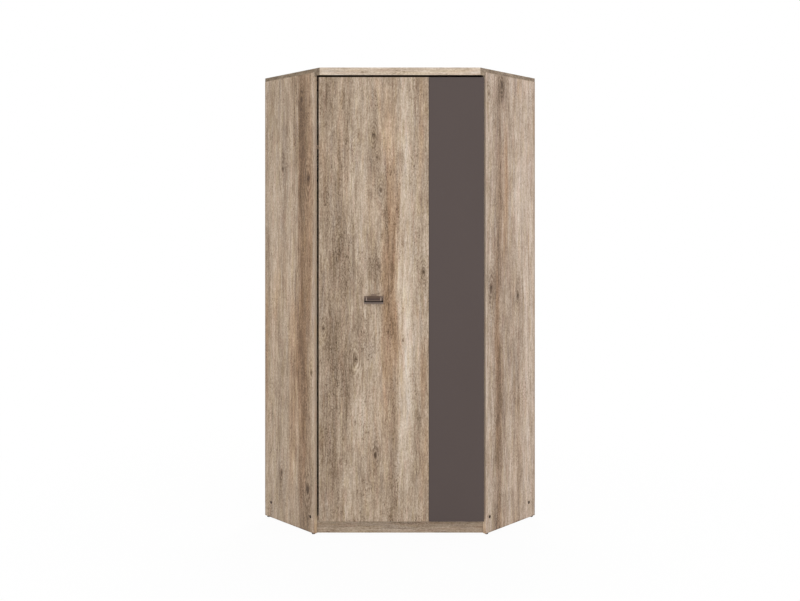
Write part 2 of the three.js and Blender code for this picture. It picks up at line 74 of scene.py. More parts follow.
def plan(side, along, off):
    """A point in plan, along a wall from the room corner and square off that wall.

    The side is -1 for the left wall and 1 for the right one.
    """
    return Vector((side * (along - off) * COS45, ROOM_CORNER - (along + off) * COS45))


def inward(side):
    """The level direction through a side panel from outside."""
    return Vector((-side * COS45, COS45, 0))


def off_wall(side):
    """The level direction square off a wall, into the room."""
    return Vector((-side * COS45, -COS45, 0))


def srgb(red, green, blue):
    """A colour given in screen values, as the shaders take it."""
    def linear(value):
        share = value / 255
        return share / 12.92 if share <= 0.04045 else ((share + 0.055) / 1.055) ** 2.4

    return (linear(red), linear(green), linear(blue), 1)


class Wire:
    """An output of a shader node. Arithmetic on it adds Math nodes."""

    def __init__(self, output):
        self.output = output
        self.tree = output.id_data

    def node(self, kind, settings, sockets, output=0):
        """Adds a node: first its settings, then the values or links of its sockets."""
        added = self.tree.nodes.new("ShaderNode" + kind)
        for key, value in settings.items():
            if key == "stops":
                for stop in value[2:]:
                    added.color_ramp.elements.new(stop[0])
                for element, (position, color) in zip(added.color_ramp.elements, value):
                    element.position = position
                    element.color = color
            else:
                setattr(added, key, value)
        for key, value in sockets.items():
            if isinstance(value, Wire):
                self.tree.links.new(value.output, added.inputs[key])
            else:
                added.inputs[key].default_value = value
        return Wire(added.outputs[output])

    def other(self, output):
        """Another output of the same node."""
        return Wire(self.output.node.outputs[output])

    def math(self, operation, *others):
        return self.node("Math", {"operation": operation}, dict(enumerate((self, *others))))

    def __add__(self, value):
        return self.math("ADD", value)

    def __sub__(self, value):
        return self.math("SUBTRACT", value)

    def __mul__(self, value):
        return self.math("MULTIPLY", value)

    def __rsub__(self, value):
        return self.node("Math", {"operation": "SUBTRACT"}, {0: value, 1: self})

    __radd__ = __add__
    __rmul__ = __mul__

    def rise(self, low, high):
        """Goes smoothly from 0 at low to 1 at high."""
        ends = {"Value": self, "From Min": low, "From Max": high}
        return self.node("MapRange", {"interpolation_type": "SMOOTHSTEP"}, ends)

    def band(self, middle, half):
        """1 at the middle, falling smoothly to 0 at half on both sides."""
        return (self - middle).math("ABSOLUTE").rise(half, 0)

    def mix(self, first, second, blend="MIX"):
        """The first colour where this value is 0, the second where it is 1."""
        settings = {"data_type": "RGBA", "blend_type": blend}
        return self.node("Mix", settings, {0: self, 6: first, 7: second}, 2)

    def ramp(self, *stops):
        return self.node("ValToRGB", {"stops": stops}, {0: self})

    def noise(self, scale, shift=(0, 0, 0), detail=2, rough=0.5):
        """Noise over this vector, its scale given for each axis."""
        place = self.node("Mapping", {}, {"Vector": self, "Location": shift, "Scale": scale})
        sockets = {"Vector": place, "Scale": 1, "Detail": detail, "Roughness": rough}
        return self.node("TexNoise", {}, sockets)

    def bump(self, height, distance, strength=1):
        return self.node("Bump", {}, {"Strength": strength, "Distance": distance, "Height": height})

    def parts(self):
        first = self.node("SeparateXYZ", {}, {0: self})
        return first, first.other(1), first.other(2)


def finish(name, look):
    """A material whose look, given the object's coordinates, returns the shader's inputs."""
    made = bpy.data.materials.new(name)
    made.use_nodes = True
    shader = made.node_tree.nodes["Principled BSDF"]
    place = Wire(made.node_tree.nodes.new("ShaderNodeTexCoord").outputs["Object"])
    for key, value in look(place).items():
        if isinstance(value, Wire):
            made.node_tree.links.new(value.output, shader.inputs[key])
        else:
            shader.inputs[key].default_value = value
    return made


def oak(name, axes, seed, patches=(), knots=(), tone=0.0, tint=(1, 1, 1)):
    """Weathered oak decor. axes gives the places across the grain, along it and into the board.

    A patch is (across, along, half width, half length, lighter or darker, browner or greyer),
    and a knot is (across, along, size). tone and tint shift the whole board's shade and colour.
    """
    a, b, c = seed * 3.7, seed * 1.9, seed * 2.3  # each noise is shifted by them in its own order
    shift = (a, b, c)

    def tinted(*screen):
        return tuple(value * share for value, share in zip(srgb(*screen), (*tint, 1)))

    def look(place):
        across, along, deep = axes(place)
        knot_dark = 0
        knot_fields = []
        flow = across
        for middle, height, size in knots:
            aside = across - middle
            up = along - height
            near = aside * aside * (0.5 / (size * 3.2) ** 2) + up * up * (0.5 / (size * 9) ** 2)
            flow = flow - aside * (near * -1).math("EXPONENT") * 0.75
            core = aside * aside * (1.2 / size**2) + up * up * (1.2 / (size * 1.7) ** 2)
            knot_dark = knot_dark + (core * -1).math("EXPONENT")
            knot_fields.append(near)
        grid = place.node("CombineXYZ", {}, {"X": across, "Y": deep, "Z": along})
        sway = grid.noise((5, 5, 1.6), shift, 2)
        wave = grid.noise((34, 34, 11), shift, 2)
        flow = flow + (sway - 0.5) * 0.024 + (wave - 0.5) * 0.007
        grain = place.node("CombineXYZ", {}, {"X": flow, "Y": deep, "Z": along})

        broad = grain.noise((15, 8, 0.9), shift, 2)
        middling = grain.noise((46, 20, 2.6), shift, 3, 0.6)
        streaks = grain.noise((120, 60, 9), shift, 3, 0.65)
        lines = grain.noise((230, 130, 22), (b, c, a), 2, 0.6)
        fine = grain.noise((430, 200, 60), shift, 2, 0.6)
        rings = (grain.noise((13, 8, 0.8), (c, b, a), 1) * 95 + fine * 2).math("SINE")
        blotch = grid.noise((34, 34, 11), (b, c, a), 4, 0.6)
        mottle = grid.noise((210, 210, 120), shift, 2, 0.7)
        fibre = grain.noise((1500, 900, 120), shift, 2)
        worn = grid.noise((20, 20, 6), (c, b, a), 3, 0.6).rise(0.5, 0.68)
        specks = grid.noise((250, 250, 110), (b, a, c), 2).rise(0.52, 0.66) * (worn * 0.9 + 0.1)
        cracks = grain.noise((85, 50, 5), (a, c, b), 2).band(0.5, 0.012)
        cracks = cracks * grid.noise((40, 40, 9), shift, 2).rise(0.54, 0.64)
        pores = grain.noise((950, 700, 95), shift, 1).rise(0.62, 0.7) * middling.rise(0.35, 0.6)

        shade = (broad - 0.5) * 0.35 + (middling - 0.5) * 0.55
        shade = shade + (streaks - 0.5) * 0.42 + rings * 0.03
        shade = shade + (blotch - 0.5) * 0.35 + (fine - 0.5) * 0.5
        shade = shade + (mottle - 0.5) * 0.65 + (0.535 + tone)
        shade = shade + (lines - 0.5) * 0.42 - specks * 0.3 - cracks * 0.34
        for near in knot_fields:
            ovals = (near.math("SQRT") * 26 + (blotch - 0.5) * 16).math("SINE")
            shade = shade + (ovals * 0.12 - 0.07) * (near * -1.3).math("EXPONENT")
        warm = grain.noise((16, 9, 1.1), (c, a, b), 2).rise(0.42, 0.66) * 0.42
        for middle, height, half, reach, lighter, browner in patches:
            ragged = (middling - 0.5) * half * 1.1 + across
            spot = ragged.band(middle, half) * (along + (broad - 0.5) * reach).band(height, reach)
            shade = shade + spot * lighter
            warm = warm + spot * browner
        shade = shade - knot_dark * mottle.rise(0.25, 0.55) * 0.6

        color = shade.ramp(
            (0.0, tinted(84, 66, 50)),
            (0.24, tinted(126, 105, 84)),
            (0.42, tinted(156, 136, 115)),
            (0.58, tinted(181, 161, 140)),
            (0.78, tinted(206, 188, 168)),
            (1.0, tinted(226, 212, 196)),
        )
        brown = warm.rise(0.1, 1)
        color = (brown * 0.8).mix(color, (0.97, 0.81, 0.66, 1), "MULTIPLY")
        grey = grain.noise((60, 30, 5), (b, c, a), 3, 0.6).rise(0.5, 0.68)
        color = (grey * 0.6).mix(color, (0.89, 0.92, 1.0, 1), "MULTIPLY")
        pink = grain.noise((90, 40, 9), (a, c, b), 3, 0.6).rise(0.5, 0.66)
        color = (pink * 0.5).mix(color, (1.0, 0.89, 0.88, 1), "MULTIPLY")
        straw = grain.noise((75, 35, 7), (c, b, a), 3, 0.6).rise(0.5, 0.66)
        color = (straw * 0.55).mix(color, (1.0, 0.98, 0.84, 1), "MULTIPLY")
        color = (pores * 0.5).mix(color, srgb(88, 72, 58))
        height = streaks * 0.4 + fine * 0.5 + fibre * 0.3 - pores * 0.9
        return {
            "Base Color": color,
            "Roughness": 0.5 + fine * 0.16 + pores * 0.1,
            "Specular IOR Level": 0.35,
            "Normal": place.bump(height, 0.00025, 0.7),
        }

    return finish(name, look)


def put(name, data):
    """Makes an object of its data and puts it into the scene."""
    made = bpy.data.objects.new(name, data)
    bpy.context.scene.collection.objects.link(made)
    return made


def settle(name, mesh, finishes, body, node):
    """Makes an object of a mesh in code, with its finishes, in place of its CAD node."""
    bmesh.ops.recalc_face_normals(mesh, faces=mesh.faces)
    data = bpy.data.meshes.new(name)
    mesh.to_mesh(data)
    mesh.free()
    piece = put(name, data)
    for made in finishes:
        data.materials.append(made)
    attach(piece, body)
    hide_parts(node)
    return piece


def aim(place, direction, axis="Z", up="Y"):
    """A matrix at a place that turns a local axis along a direction."""
    turn = Vector(direction).to_track_quat(axis, up).to_matrix().to_4x4()
    return Matrix.Translation(Vector(place)) @ turn


def round_bar(mesh, start, direction, length, radius, sides=32, end_radius=None):
    """Adds a closed round bar to a mesh, from a point along a direction."""
    middle = Vector(start) + Vector(direction) * (length / 2)
    bmesh.ops.create_cone(
        mesh,
        cap_ends=True,
        segments=sides,
        radius1=radius,
        radius2=radius if end_radius is None else end_radius,
        depth=length,
        matrix=aim(middle, direction),
    )


def belt(mesh, first, second):
    """Joins two rings of as many corners with a belt of faces."""
    for i, corner in enumerate(first):
        j = (i + 1) % len(first)
        mesh.faces.new((corner, first[j], second[j], second[i]))


def ease_edges(mesh, edge, steps):
    """Rounds every edge of a mesh in code."""
    bmesh.ops.bevel(
        mesh, geom=mesh.edges[:], offset=edge, segments=steps, profile=0.5, affect="EDGES")


def prism(outline, bottom, top, edge=BOARD_EDGE, steps=2):
    """A mesh in code of an outline in plan, drawn up from one height to another."""
    mesh = bmesh.new()
    low = [mesh.verts.new((x, y, bottom)) for x, y in outline]
    high = [mesh.verts.new((x, y, top)) for x, y in outline]
    mesh.faces.new(low[::-1])
    mesh.faces.new(high)
    belt(mesh, low, high)
    bmesh.ops.recalc_face_normals(mesh, faces=mesh.faces)
    ease_edges(mesh, edge, steps)
    return mesh


def drill(piece, bores):
    """Cuts round bores, each (start, direction, length, radius), from a little outside."""
    bits = bmesh.new()
    for start, direction, length, radius in bores:
        outside = Vector(start) - Vector(direction) * BIT_START
        round_bar(bits, outside, direction, length + BIT_START, radius)
    data = bpy.data.meshes.new("bits")
    bits.to_mesh(data)
    bits.free()
    cutter = put("bits", data)
    modifier = piece.modifiers.new("bores", "BOOLEAN")
    modifier.operation = "DIFFERENCE"
    modifier.solver = "EXACT"
    modifier.object = cutter
    bpy.context.view_layer.update()
    bored = piece.evaluated_get(bpy.context.evaluated_depsgraph_get())
    cut = bpy.data.meshes.new_from_object(bored)
    piece.modifiers.clear()
    piece.data = cut
    bpy.data.objects.remove(cutter)


def smooth(piece, angle=40):
    """Shades rounded places smoothly and keeps the flat faces flat."""
    for face in piece.data.polygons:
        face.use_smooth = True
    piece.data.set_sharp_from_angle(angle=math.radians(angle))
    weights = piece.modifiers.new("normals", "WEIGHTED_NORMAL")
    weights.keep_sharp = True


def board(name, mesh, finishes, body, node, thin, bores=()):
    """A drilled board. Its second finish is on every face that doesn't look along thin."""
    piece = settle(name, mesh, finishes, body, node)
    if bores:
        drill(piece, bores)
    for face in piece.data.polygons:
        face.material_index = 0 if abs(face.normal.dot(thin)) > FACING else 1
    smooth(piece)


def side_axes(side):
    def axes(place):
        x, y, z = place.parts()
        behind = (x * side + y - (ROOM_CORNER - SIDE_DEPTH / COS45)) * COS45
        into = (ROOM_CORNER - y + x * side) * COS45
        return behind, z, into

    return axes


SIDE_PATCHES = {
    -1: [
        (0.094, 1.2, 0.06, 2.4, -0.24, 0.75),
        (0.066, 0.55, 0.04, 0.5, -0.1, 0.4),
        (0.03, 1.3, 0.03, 2.4, -0.06, 0.5),
        (0.07, 1.72, 0.045, 0.4, -0.1, 0.3),
        (0.155, 1.2, 0.034, 2.4, 0.03, 0.4),
        (0.215, 1.75, 0.04, 0.25, -0.07, -0.2),
        (0.205, 1.0, 0.04, 0.8, 0.06, 0.3),
        (0.265, 0.9, 0.045, 1.0, 0.12, 0.2),
        (0.225, 0.2, 0.05, 0.3, -0.05, -0.1),
        (0.318, 1.5, 0.034, 0.6, 0.02, -0.4),
        (0.33, 0.7, 0.035, 0.6, -0.02, 0.5),
        (0.05, 0.07, 0.06, 0.17, -0.17, 0.0),
        # This patch paints the lowest centimetre of the panel darker, as painted shade along its
        # bottom edge.
        (0.17, 0.005, 0.6, 0.008, -0.2, 0.1),
        (0.34, 1.2, 0.045, 2.6, -0.08, 0.0),
        (0.055, 1.2, 0.038, 2.6, -0.1, 0.1),
        (0.19, 1.76, 0.035, 0.36, -0.08, 0.0),
        (0.352, 1.2, 0.014, 3.5, -0.14, 0.1),
    ],
    1: [
        (0.105, 1.45, 0.04, 0.6, -0.1, 0.5),
        (0.14, 1.5, 0.026, 0.45, 0.0, 0.8),
        (0.08, 1.2, 0.045, 2.4, -0.13, 0.2),
        (0.095, 0.6, 0.055, 0.7, -0.1, 0.5),
        (0.02, 1.1, 0.026, 2.4, 0.06, -0.1),
        (0.115, 1.92, 0.05, 0.1, -0.1, 0.1),
        (0.225, 1.45, 0.04, 0.6, 0.13, -0.2),
        (0.17, 1.1, 0.03, 2.4, 0.06, 0.1),
        (0.28, 1.1, 0.05, 2.4, 0.12, -0.4),
        (0.325, 1.1, 0.03, 2.4, 0.06, -0.3),
        (0.037, 1.05, 0.02, 0.09, -0.16, 0.0),
        # This patch paints the face lighter next to its front corner, a painted highlight along
        # that edge.
        (-0.004, 1.2, 0.02, 3.5, 0.14, -0.1),
        (0.085, 0.05, 0.055, 0.16, -0.1, 0.1),
        # This patch paints the lowest centimetre of the panel darker, as painted shade along its
        # bottom edge.
        (0.17, 0.005, 0.6, 0.008, -0.2, 0.1),
        (0.09, 1.2, 0.055, 2.6, -0.08, 0.0),
        (0.185, 1.6, 0.055, 0.7, 0.09, -0.3),
        (0.352, 1.2, 0.014, 3.5, -0.14, 0.1),
    ],
}
SIDE_KNOTS = {
    -1: [
        (0.04, 1.519, 0.011), (0.085, 1.859, 0.006), (0.219, 1.567, 0.006),
        (0.02, 0.689, 0.006), (0.226, 0.224, 0.006), (0.045, 0.187, 0.01),
    ],
    1: [
        (0.021, 1.882, 0.006), (0.223, 1.007, 0.006), (0.11, 1.93, 0.006),
        (0.037, 1.052, 0.008),
    ],
}

side_low, side_high = (corner.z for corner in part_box("side_panel_left"))
sheet_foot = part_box("back_sheet_left")[0].z - SEAT
shelf_under, shelf_top = (corner.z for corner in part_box("hat_shelf"))
bottom_under, bottom_top = (corner.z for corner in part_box("bottom_panel"))
for side, word in SIDES:
    face_oak = oak(f"side oak {word}", side_axes(side), 1 + side * 0.31, SIDE_PATCHES[side],
                   SIDE_KNOTS[side], tint=(1, 1, 1.02 + side * 0.02))
    # The edge band's pale tone is painted light, raised to make up for the shadow the door casts on
    # it, and the patch at its foot takes that lift back below the door.
    foot_without_lift = [(0, -0.02, 0.5, 0.11, -0.75, 0.1)]
    band_oak = oak(f"side band {word}", side_axes(side), 4.0 + side, foot_without_lift,
                   tone=0.6, tint=(1.07, 0.98, 0.88))
    outline = [
        (0, side_low),
        (SIDE_DEPTH, side_low),
        (SIDE_DEPTH, side_high),
        (SHEET_FACE, side_high),
        (SHEET_FACE, sheet_foot),
        (0, sheet_foot),
    ]
    mesh = prism(outline, 0, BOARD)
    upright = Matrix((off_wall(side), (0, 0, 1), inward(side))).transposed().to_4x4()
    wall_end = plan(side, WALL_LEG, 0).to_3d()
    bmesh.ops.transform(mesh, matrix=Matrix.Translation(wall_end) @ upright, verts=mesh.verts)
    bores = []
    for off in SIDE_SCREWS.values():
        mouth = (*plan(side, WALL_LEG, off), bottom_under + BOARD / 2)
        bores.append((mouth, inward(side), SCREW_HEAD_DEPTH, SCREW_HEAD_RADIUS + SEAT))
    for off in TOP_DOWELS.values():
        mouth = (*plan(side, WALL_LEG - BOARD / 2, off), side_high)
        bores.append((mouth, (0, 0, -1), TOP_DOWEL_DEPTH, DOWEL_RADIUS + SEAT))
    for off in (SIDE_DEPTH - SUPPORT_INSET, SHEET_FACE + SUPPORT_INSET):
        mouth = (*plan(side, WALL_LEG - BOARD, off), shelf_under - SUPPORT_DROP)
        bores.append((mouth, -inward(side), SUPPORT_BORE_DEPTH, SUPPORT_BORE_RADIUS))
    board(f"panel_{word}", mesh, [face_oak, band_oak], "carcass",
          f"side_panel_{word}", inward(side), bores)

# Side screws
# Four dark steel housing screws with a hexagon socket, two through the foot of each side panel.
# They run through the panel into the edge of the bottom panel, their heads just under the face.
SCREW_SINK = 0.0003
SCREW_HEAD_HEIGHT = 0.003
SHANK_START = 0.0029  # just inside the head
SHANK_RADIUS = 0.0032
SHANK_LENGTH = 0.0468
SOCKET_RADIUS = 0.0024


def dark_steel(place):
    scratches = place.noise((900, 900, 900), detail=3)
    worn = place.noise((260, 260, 260), (3, 1, 2)).rise(0.5, 0.75)
    return {
        "Base Color": (worn * 0.5).mix(srgb(66, 49, 38), srgb(92, 74, 62)),
        "Metallic": 0.45,
        "Roughness": 0.42 + scratches * 0.3,
        "Normal": place.bump(scratches, 0.0001, 0.4),
    }


steel_finish = finish("dark steel", dark_steel)


def regular(radius, sides):
    """The corners of a regular outline."""
    angles = [math.tau * i / sides for i in range(sides)]
    return [(radius * math.cos(angle), radius * math.sin(angle)) for angle in angles]


def turned(mesh, profile, sides, matrix=Matrix()):
    """Adds a turned shape: pairs of radius and height, taken round the local Z axis."""
    rings = []
    for radius, height in profile:
        outline = regular(radius, sides if radius else 1)
        rings.append([mesh.verts.new(matrix @ Vector((x, y, height))) for x, y in outline])
    for ring, after in zip(rings, rings[1:]):
        for i in range(sides):
            j = (i + 1) % sides
            corners = [ring[i % len(ring)], ring[j % len(ring)],
                       after[j % len(after)], after[i % len(after)]]
            mesh.faces.new(tuple(dict.fromkeys(corners)))


def recess(mesh, matrix, rim, outline, depth):
    """Fills the round face of a screw head, up the local Z axis, round a recess in it."""
    def loop(points, height):
        corners = [mesh.verts.new(matrix @ Vector((x, y, height))) for x, y in points]
        return corners, [mesh.edges.new(pair) for pair in zip(corners, corners[1:] + corners[:1])]

    edges = loop(regular(rim, 24), 0)[1]
    mouth, mouth_edges = loop(outline, 0)
    floor = loop(outline, -depth)[0]
    bmesh.ops.triangle_fill(mesh, use_beauty=True, edges=edges + mouth_edges)
    belt(mesh, mouth, floor)
    mesh.faces.new(floor)
    bmesh.ops.remove_doubles(mesh, verts=mesh.verts, dist=0.00001)


def socket_head(mesh, matrix, radius, depth, socket):
    """Adds a flat screw head, its face up the local Z axis, with a hexagon socket."""
    rim = radius * 0.94
    turned(mesh, [
        (0, -depth), (radius * 0.7, -depth), (radius, -depth * 0.45), (radius, -0.0005), (rim, 0),
    ], 24, matrix)
    recess(mesh, matrix, rim, regular(socket, 6), depth * 0.6)


for side, word in SIDES:
    for where, off in SIDE_SCREWS.items():
        face = Vector((*plan(side, WALL_LEG, off), bottom_under + BOARD / 2))
        face += inward(side) * SCREW_SINK
        mesh = bmesh.new()
        socket_head(mesh, aim(face, -inward(side)), SCREW_HEAD_RADIUS, SCREW_HEAD_HEIGHT,
                    SOCKET_RADIUS)
        start = face + inward(side) * SHANK_START
        round_bar(mesh, start, inward(side), SHANK_LENGTH, SHANK_RADIUS, 20)
        smooth(settle(f"housing_screw_{word}_{where}", mesh, [steel_finish], "carcass",
                      f"side_screw_{word}_{where}"))

# Bottom panel
# One board of the same oak decor that fills the whole plan, its rear corner cut round the
# corner boards. It lies on the plinth board, and the screws through the side panels hold it.
CORNER_WIDTH = 0.1
INNER_LEG = WALL_LEG - BOARD - SEAT
FRONT_LINE = ROOM_CORNER - (WALL_LEG + SIDE_DEPTH) * COS45
FRONT_SETBACK = 0.004
UP = Vector((0, 0, 1))


def inner_outline():
    """The outline between the side panels that the bottom panel and the shelf share."""
    board_end = SHEET_FACE + CORNER_WIDTH + SEAT
    board_face = SHEET_FACE + BOARD + SEAT

    def half(side):
        front = plan(side, INNER_LEG, SIDE_DEPTH)
        return [
            Vector((front.x, FRONT_LINE + FRONT_SETBACK)),
            front,
            plan(side, INNER_LEG, SHEET_FACE),
            plan(side, board_end, SHEET_FACE),
            plan(side, board_end, board_face),
        ]

    return [*half(-1), plan(1, board_face, board_face), *half(1)[::-1]]


def level_axes(place):
    """Grain from left to right, seen from above or from the front."""
    x, y, z = place.parts()
    return y + z, x, z - y


level_band = oak("level band", level_axes, 7.3, tone=-0.4)
mesh = prism(inner_outline(), bottom_under, bottom_top)
board("floor_board", mesh, [oak("bottom oak", level_axes, 5.2), level_band], "carcass",
      "bottom_panel", UP)

# Plinth board
# An upright board of oak decor with level grain under the bottom panel, mitred against the
# side panels. It stands back from the front line, between the door and the floor.
plinth_low, plinth_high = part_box("plinth_board")
PLINTH_SETBACK = 0.015
DEPTHWISE = Vector((0, 1, 0))


def half_width_at(depth):
    """Half the free width between the side panels, this far behind the front line."""
    return INNER_LEG / COS45 - (WALL_LEG + SIDE_DEPTH) * COS45 + depth


def plinth_axes(place):
    x, y, z = place.parts()
    return z, x, y


front_half = half_width_at(PLINTH_SETBACK)
rear_half = half_width_at(PLINTH_SETBACK + BOARD)
front_y = FRONT_LINE + PLINTH_SETBACK
plinth_outline = [
    (-front_half, front_y),
    (front_half, front_y),
    (rear_half, front_y + BOARD),
    (-rear_half, front_y + BOARD),
]
# The top of the plinth is painted darker, a painted shadow of the door that stands over it.
door_shadow_patch = [(0.043, 0.0, 0.03, 2, -0.14, 0.1)]
plinth_oak = oak("plinth oak", plinth_axes, 9.1, door_shadow_patch, tone=0.05)
mesh = prism(plinth_outline, plinth_low.z, plinth_high.z)
board("plinth", mesh, [plinth_oak, level_band], "carcass", "plinth_board",
      DEPTHWISE)

# Corner boards
# Two narrow upright boards that stand at a right angle in the rear corner and carry shelf and
# top there. The left one runs into the corner and the right one ends on it.
corner_low, corner_high = (corner.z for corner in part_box("corner_board_left"))


def corner_axes(side):
    def axes(place):
        x, y, z = place.parts()
        return (ROOM_CORNER - y + x * side) * COS45, z, (ROOM_CORNER - y - x * side) * COS45

    return axes


for side, word in SIDES:
    start = SHEET_FACE if side < 0 else SHEET_FACE + BOARD + SEAT
    outline = [
        plan(side, start, SHEET_FACE),
        plan(side, SHEET_FACE + CORNER_WIDTH, SHEET_FACE),
        plan(side, SHEET_FACE + CORNER_WIDTH, SHEET_FACE + BOARD),
        plan(side, start, SHEET_FACE + BOARD),
    ]
    corner_oak = oak(f"corner oak {word}", corner_axes(side), 11.0 + side)
    corner_band = oak(f"corner band {word}", corner_axes(side), 22.0 + side)
    mesh = prism(outline, corner_low, corner_high)
    x, y = plan(side, SHEET_FACE + CORNER_WIDTH / 2, SHEET_FACE + BOARD)
    bore = ((x, y, shelf_under - SUPPORT_DROP), -off_wall(side), SUPPORT_BORE_DEPTH,
            SUPPORT_BORE_RADIUS)
    board(f"corner_post_{word}", mesh, [corner_oak, corner_band], "carcass",
          f"corner_board_{word}", off_wall(side), [bore])

# Top panel
# The top closes the whole plan, flush with the outer faces of the side panels, whose dowels
# hold it. Its front edge overhangs the door, and its two side edges are painted darker than the
# side faces as painted shade, the left one more.
TOP_OVERHANG = 0.025
TOP_DOWEL_RISE = 0.0103
top_low, top_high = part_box("top_panel")
front_x = -plan(-1, WALL_LEG, SIDE_DEPTH).x - TOP_OVERHANG


def top_side_axes(place):
    """Grain along the slanting side edges."""
    x, y, z = place.parts()
    return z, y * 1.4, x


top_outline = [
    (-front_x, FRONT_LINE - TOP_OVERHANG),
    plan(-1, WALL_LEG, 0),
    plan(-1, 0, 0),
    plan(1, WALL_LEG, 0),
    (front_x, FRONT_LINE - TOP_OVERHANG),
]
strip_oak = oak("strip oak", plinth_axes, 13.4, tone=0.25)
top_finishes = [
    oak("top oak", level_axes, 15.8),
    # The two side-edge finishes are painted shade: darker than the side faces, the left one darker
    # still.
    oak("top band left", top_side_axes, 17.2, tone=-0.08, tint=(0.58, 0.57, 0.53)),
    oak("top band right", top_side_axes, 18.2, tone=-0.08, tint=(0.72, 0.72, 0.71)),
    strip_oak,
]
mesh = prism(top_outline, top_low.z, top_high.z)
top = settle("top", mesh, top_finishes, "carcass", "top_panel")
bores = []
for side in (-1, 1):
    for off in TOP_DOWELS.values():
        mouth = (*plan(side, WALL_LEG - BOARD / 2, off), top_low.z)
        bores.append((mouth, (0, 0, 1), TOP_DOWEL_RISE, DOWEL_RADIUS + SEAT))
drill(top, bores)
for face in top.data.polygons:
    if abs(face.normal.z) < FACING:
        side_finish = 1 if face.center.x < 0 else 2
        face.material_index = 3 if face.normal.y < -FACING else side_finish
smooth(top)

# Top front strip
# A pale strip with level grain glued under the front edge of the top, which then looks twice
# as thick. Its mitred ends are in line with the outer faces of the side panels.
MITRE_FACING = 0.3
strip_low, strip_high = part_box("top_front_strip")
strip_outline = [
    (-front_x, strip_low.y),
    (front_x, strip_low.y),
    (strip_high.x, strip_high.y),
    (strip_low.x, strip_high.y),
]
mesh = prism(strip_outline, strip_low.z, strip_high.z)
# The strip's underside is painted nearly black, as painted shade in the gap over the door; its
# mitred ends take the top's side-edge finishes with their painted shade.
painted_shade_underside = oak("strip underside", plinth_axes, 14.4, tone=-0.5, tint=(0.3, 0.24, 0.2))
strip = settle("front_strip", mesh, [strip_oak, *top_finishes[1:3], painted_shade_underside], "carcass",
               "top_front_strip")
for face in strip.data.polygons:
    if abs(face.normal.x) > MITRE_FACING:
        face.material_index = 1 if face.center.x < 0 else 2
    elif face.normal.z < -FACING:
        face.material_index = 3
smooth(strip)

# Top dowels
# Four grooved beech dowels that locate the top on the side panels, two on each side.
# They stand in bores in the upper ends of the panels and reach into the top.
DOWEL_GROOVES = 16
GROOVE_DEPTH = 0.0003
DOWEL_CHAMFER = 0.0012


def beech(place):
    grain = place.noise((60, 900, 900), detail=3, rough=0.6)
    fleck = place.noise((220, 2600, 2600), (2, 5, 1)).rise(0.6, 0.7)
    tone = grain * 0.8 + fleck * 0.2
    return {
        "Base Color": tone.ramp((0.25, srgb(176, 138, 98)), (0.75, srgb(218, 186, 146))),
        "Roughness": 0.62 + grain * 0.2,
        "Normal": place.bump(grain, 0.0002, 0.6),
    }


beech_finish = finish("beech", beech)


def dowel(mesh, start, direction, length):
    """Adds a grooved dowel with chamfered ends."""
    place = aim(start, direction)
    rings = []
    for height, shrink in ((0, DOWEL_CHAMFER), (DOWEL_CHAMFER, 0),
                           (length - DOWEL_CHAMFER, 0), (length, DOWEL_CHAMFER)):
        ring = []
        for i in range(DOWEL_GROOVES * 2):
            radius = DOWEL_RADIUS - shrink - (i % 2) * GROOVE_DEPTH
            angle = math.pi * i / DOWEL_GROOVES
            corner = (radius * math.cos(angle), radius * math.sin(angle), height)
            ring.append(mesh.verts.new(place @ Vector(corner)))
        rings.append(ring)
    mesh.faces.new(rings[0][::-1])
    mesh.faces.new(rings[-1])
    for ring, after in zip(rings, rings[1:]):
        belt(mesh, ring, after)


for side, word in SIDES:
    for where, off in TOP_DOWELS.items():
        node = f"top_dowel_{word}_{where}"
        low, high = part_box(node)
        mesh = bmesh.new()
        foot = (*plan(side, WALL_LEG - BOARD / 2, off), low.z)
        dowel(mesh, foot, UP, high.z - low.z)
        settle(f"grooved_{node}", mesh, [beech_finish], "carcass", node)

# Floor glides
# Six round feet of black plastic, nailed under the ends of the side panels and under the
# corner boards. They keep the boards 5 mm off the floor.
GLIDE_RADIUS = 0.0075
GLIDE_HEIGHT = 0.005


def black_plastic(place):
    grain = place.noise((1400, 1400, 1400), detail=3)
    scuffs = place.noise((300, 300, 900), (4, 2, 7), 3).rise(0.55, 0.75)
    return {
        "Base Color": (scuffs * 0.4).mix(srgb(9, 8, 8), srgb(34, 31, 29)),
        "Roughness": 0.5 + grain * 0.25,
        "Specular IOR Level": 0.25,
        "Normal": place.bump(grain, 0.0001, 0.5),
    }


def middle_of(node):
    """The middle of a node's box."""
    low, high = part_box(node)
    return (low + high) / 2


plastic_finish = finish("black plastic", black_plastic)
glide_profile = [
    (0, 0.0003), (0.0016, 0.0003), (0.002, 0), (0.0056, 0), (0.0068, 0.0005),
    (GLIDE_RADIUS, 0.0018), (GLIDE_RADIUS, 0.0042), (0.0072, GLIDE_HEIGHT), (0, GLIDE_HEIGHT),
]
for side, word in SIDES:
    for where in ("front", "rear", "corner"):
        node = f"glide_{word}_{where}"
        middle = middle_of(node)
        mesh = bmesh.new()
        turned(mesh, glide_profile, 32, Matrix.Translation((middle.x, middle.y, 0)))
        smooth(settle(f"foot_{word}_{where}", mesh, [plastic_finish], "carcass",
                      node))

# Shelf supports
# Six small brackets of bright nickelled steel, four on the side panels and two on the corner
# boards. A pin goes into the board, a plate lies on its face, and the shelf rests on the ledge.
SUPPORT_HALF = 0.006
SUPPORT_HEIGHT = 0.013
SUPPORT_PLATE = 0.002
SUPPORT_LEDGE = 0.016
SUPPORT_EDGE = 0.0005
SUPPORT_PIN_RADIUS = 0.0025
SUPPORT_PIN_LENGTH = 0.0109
RIVET_RADIUS = 0.0032
RIVET_TOP_RADIUS = 0.0026
RIVET_HEIGHT = 0.0009


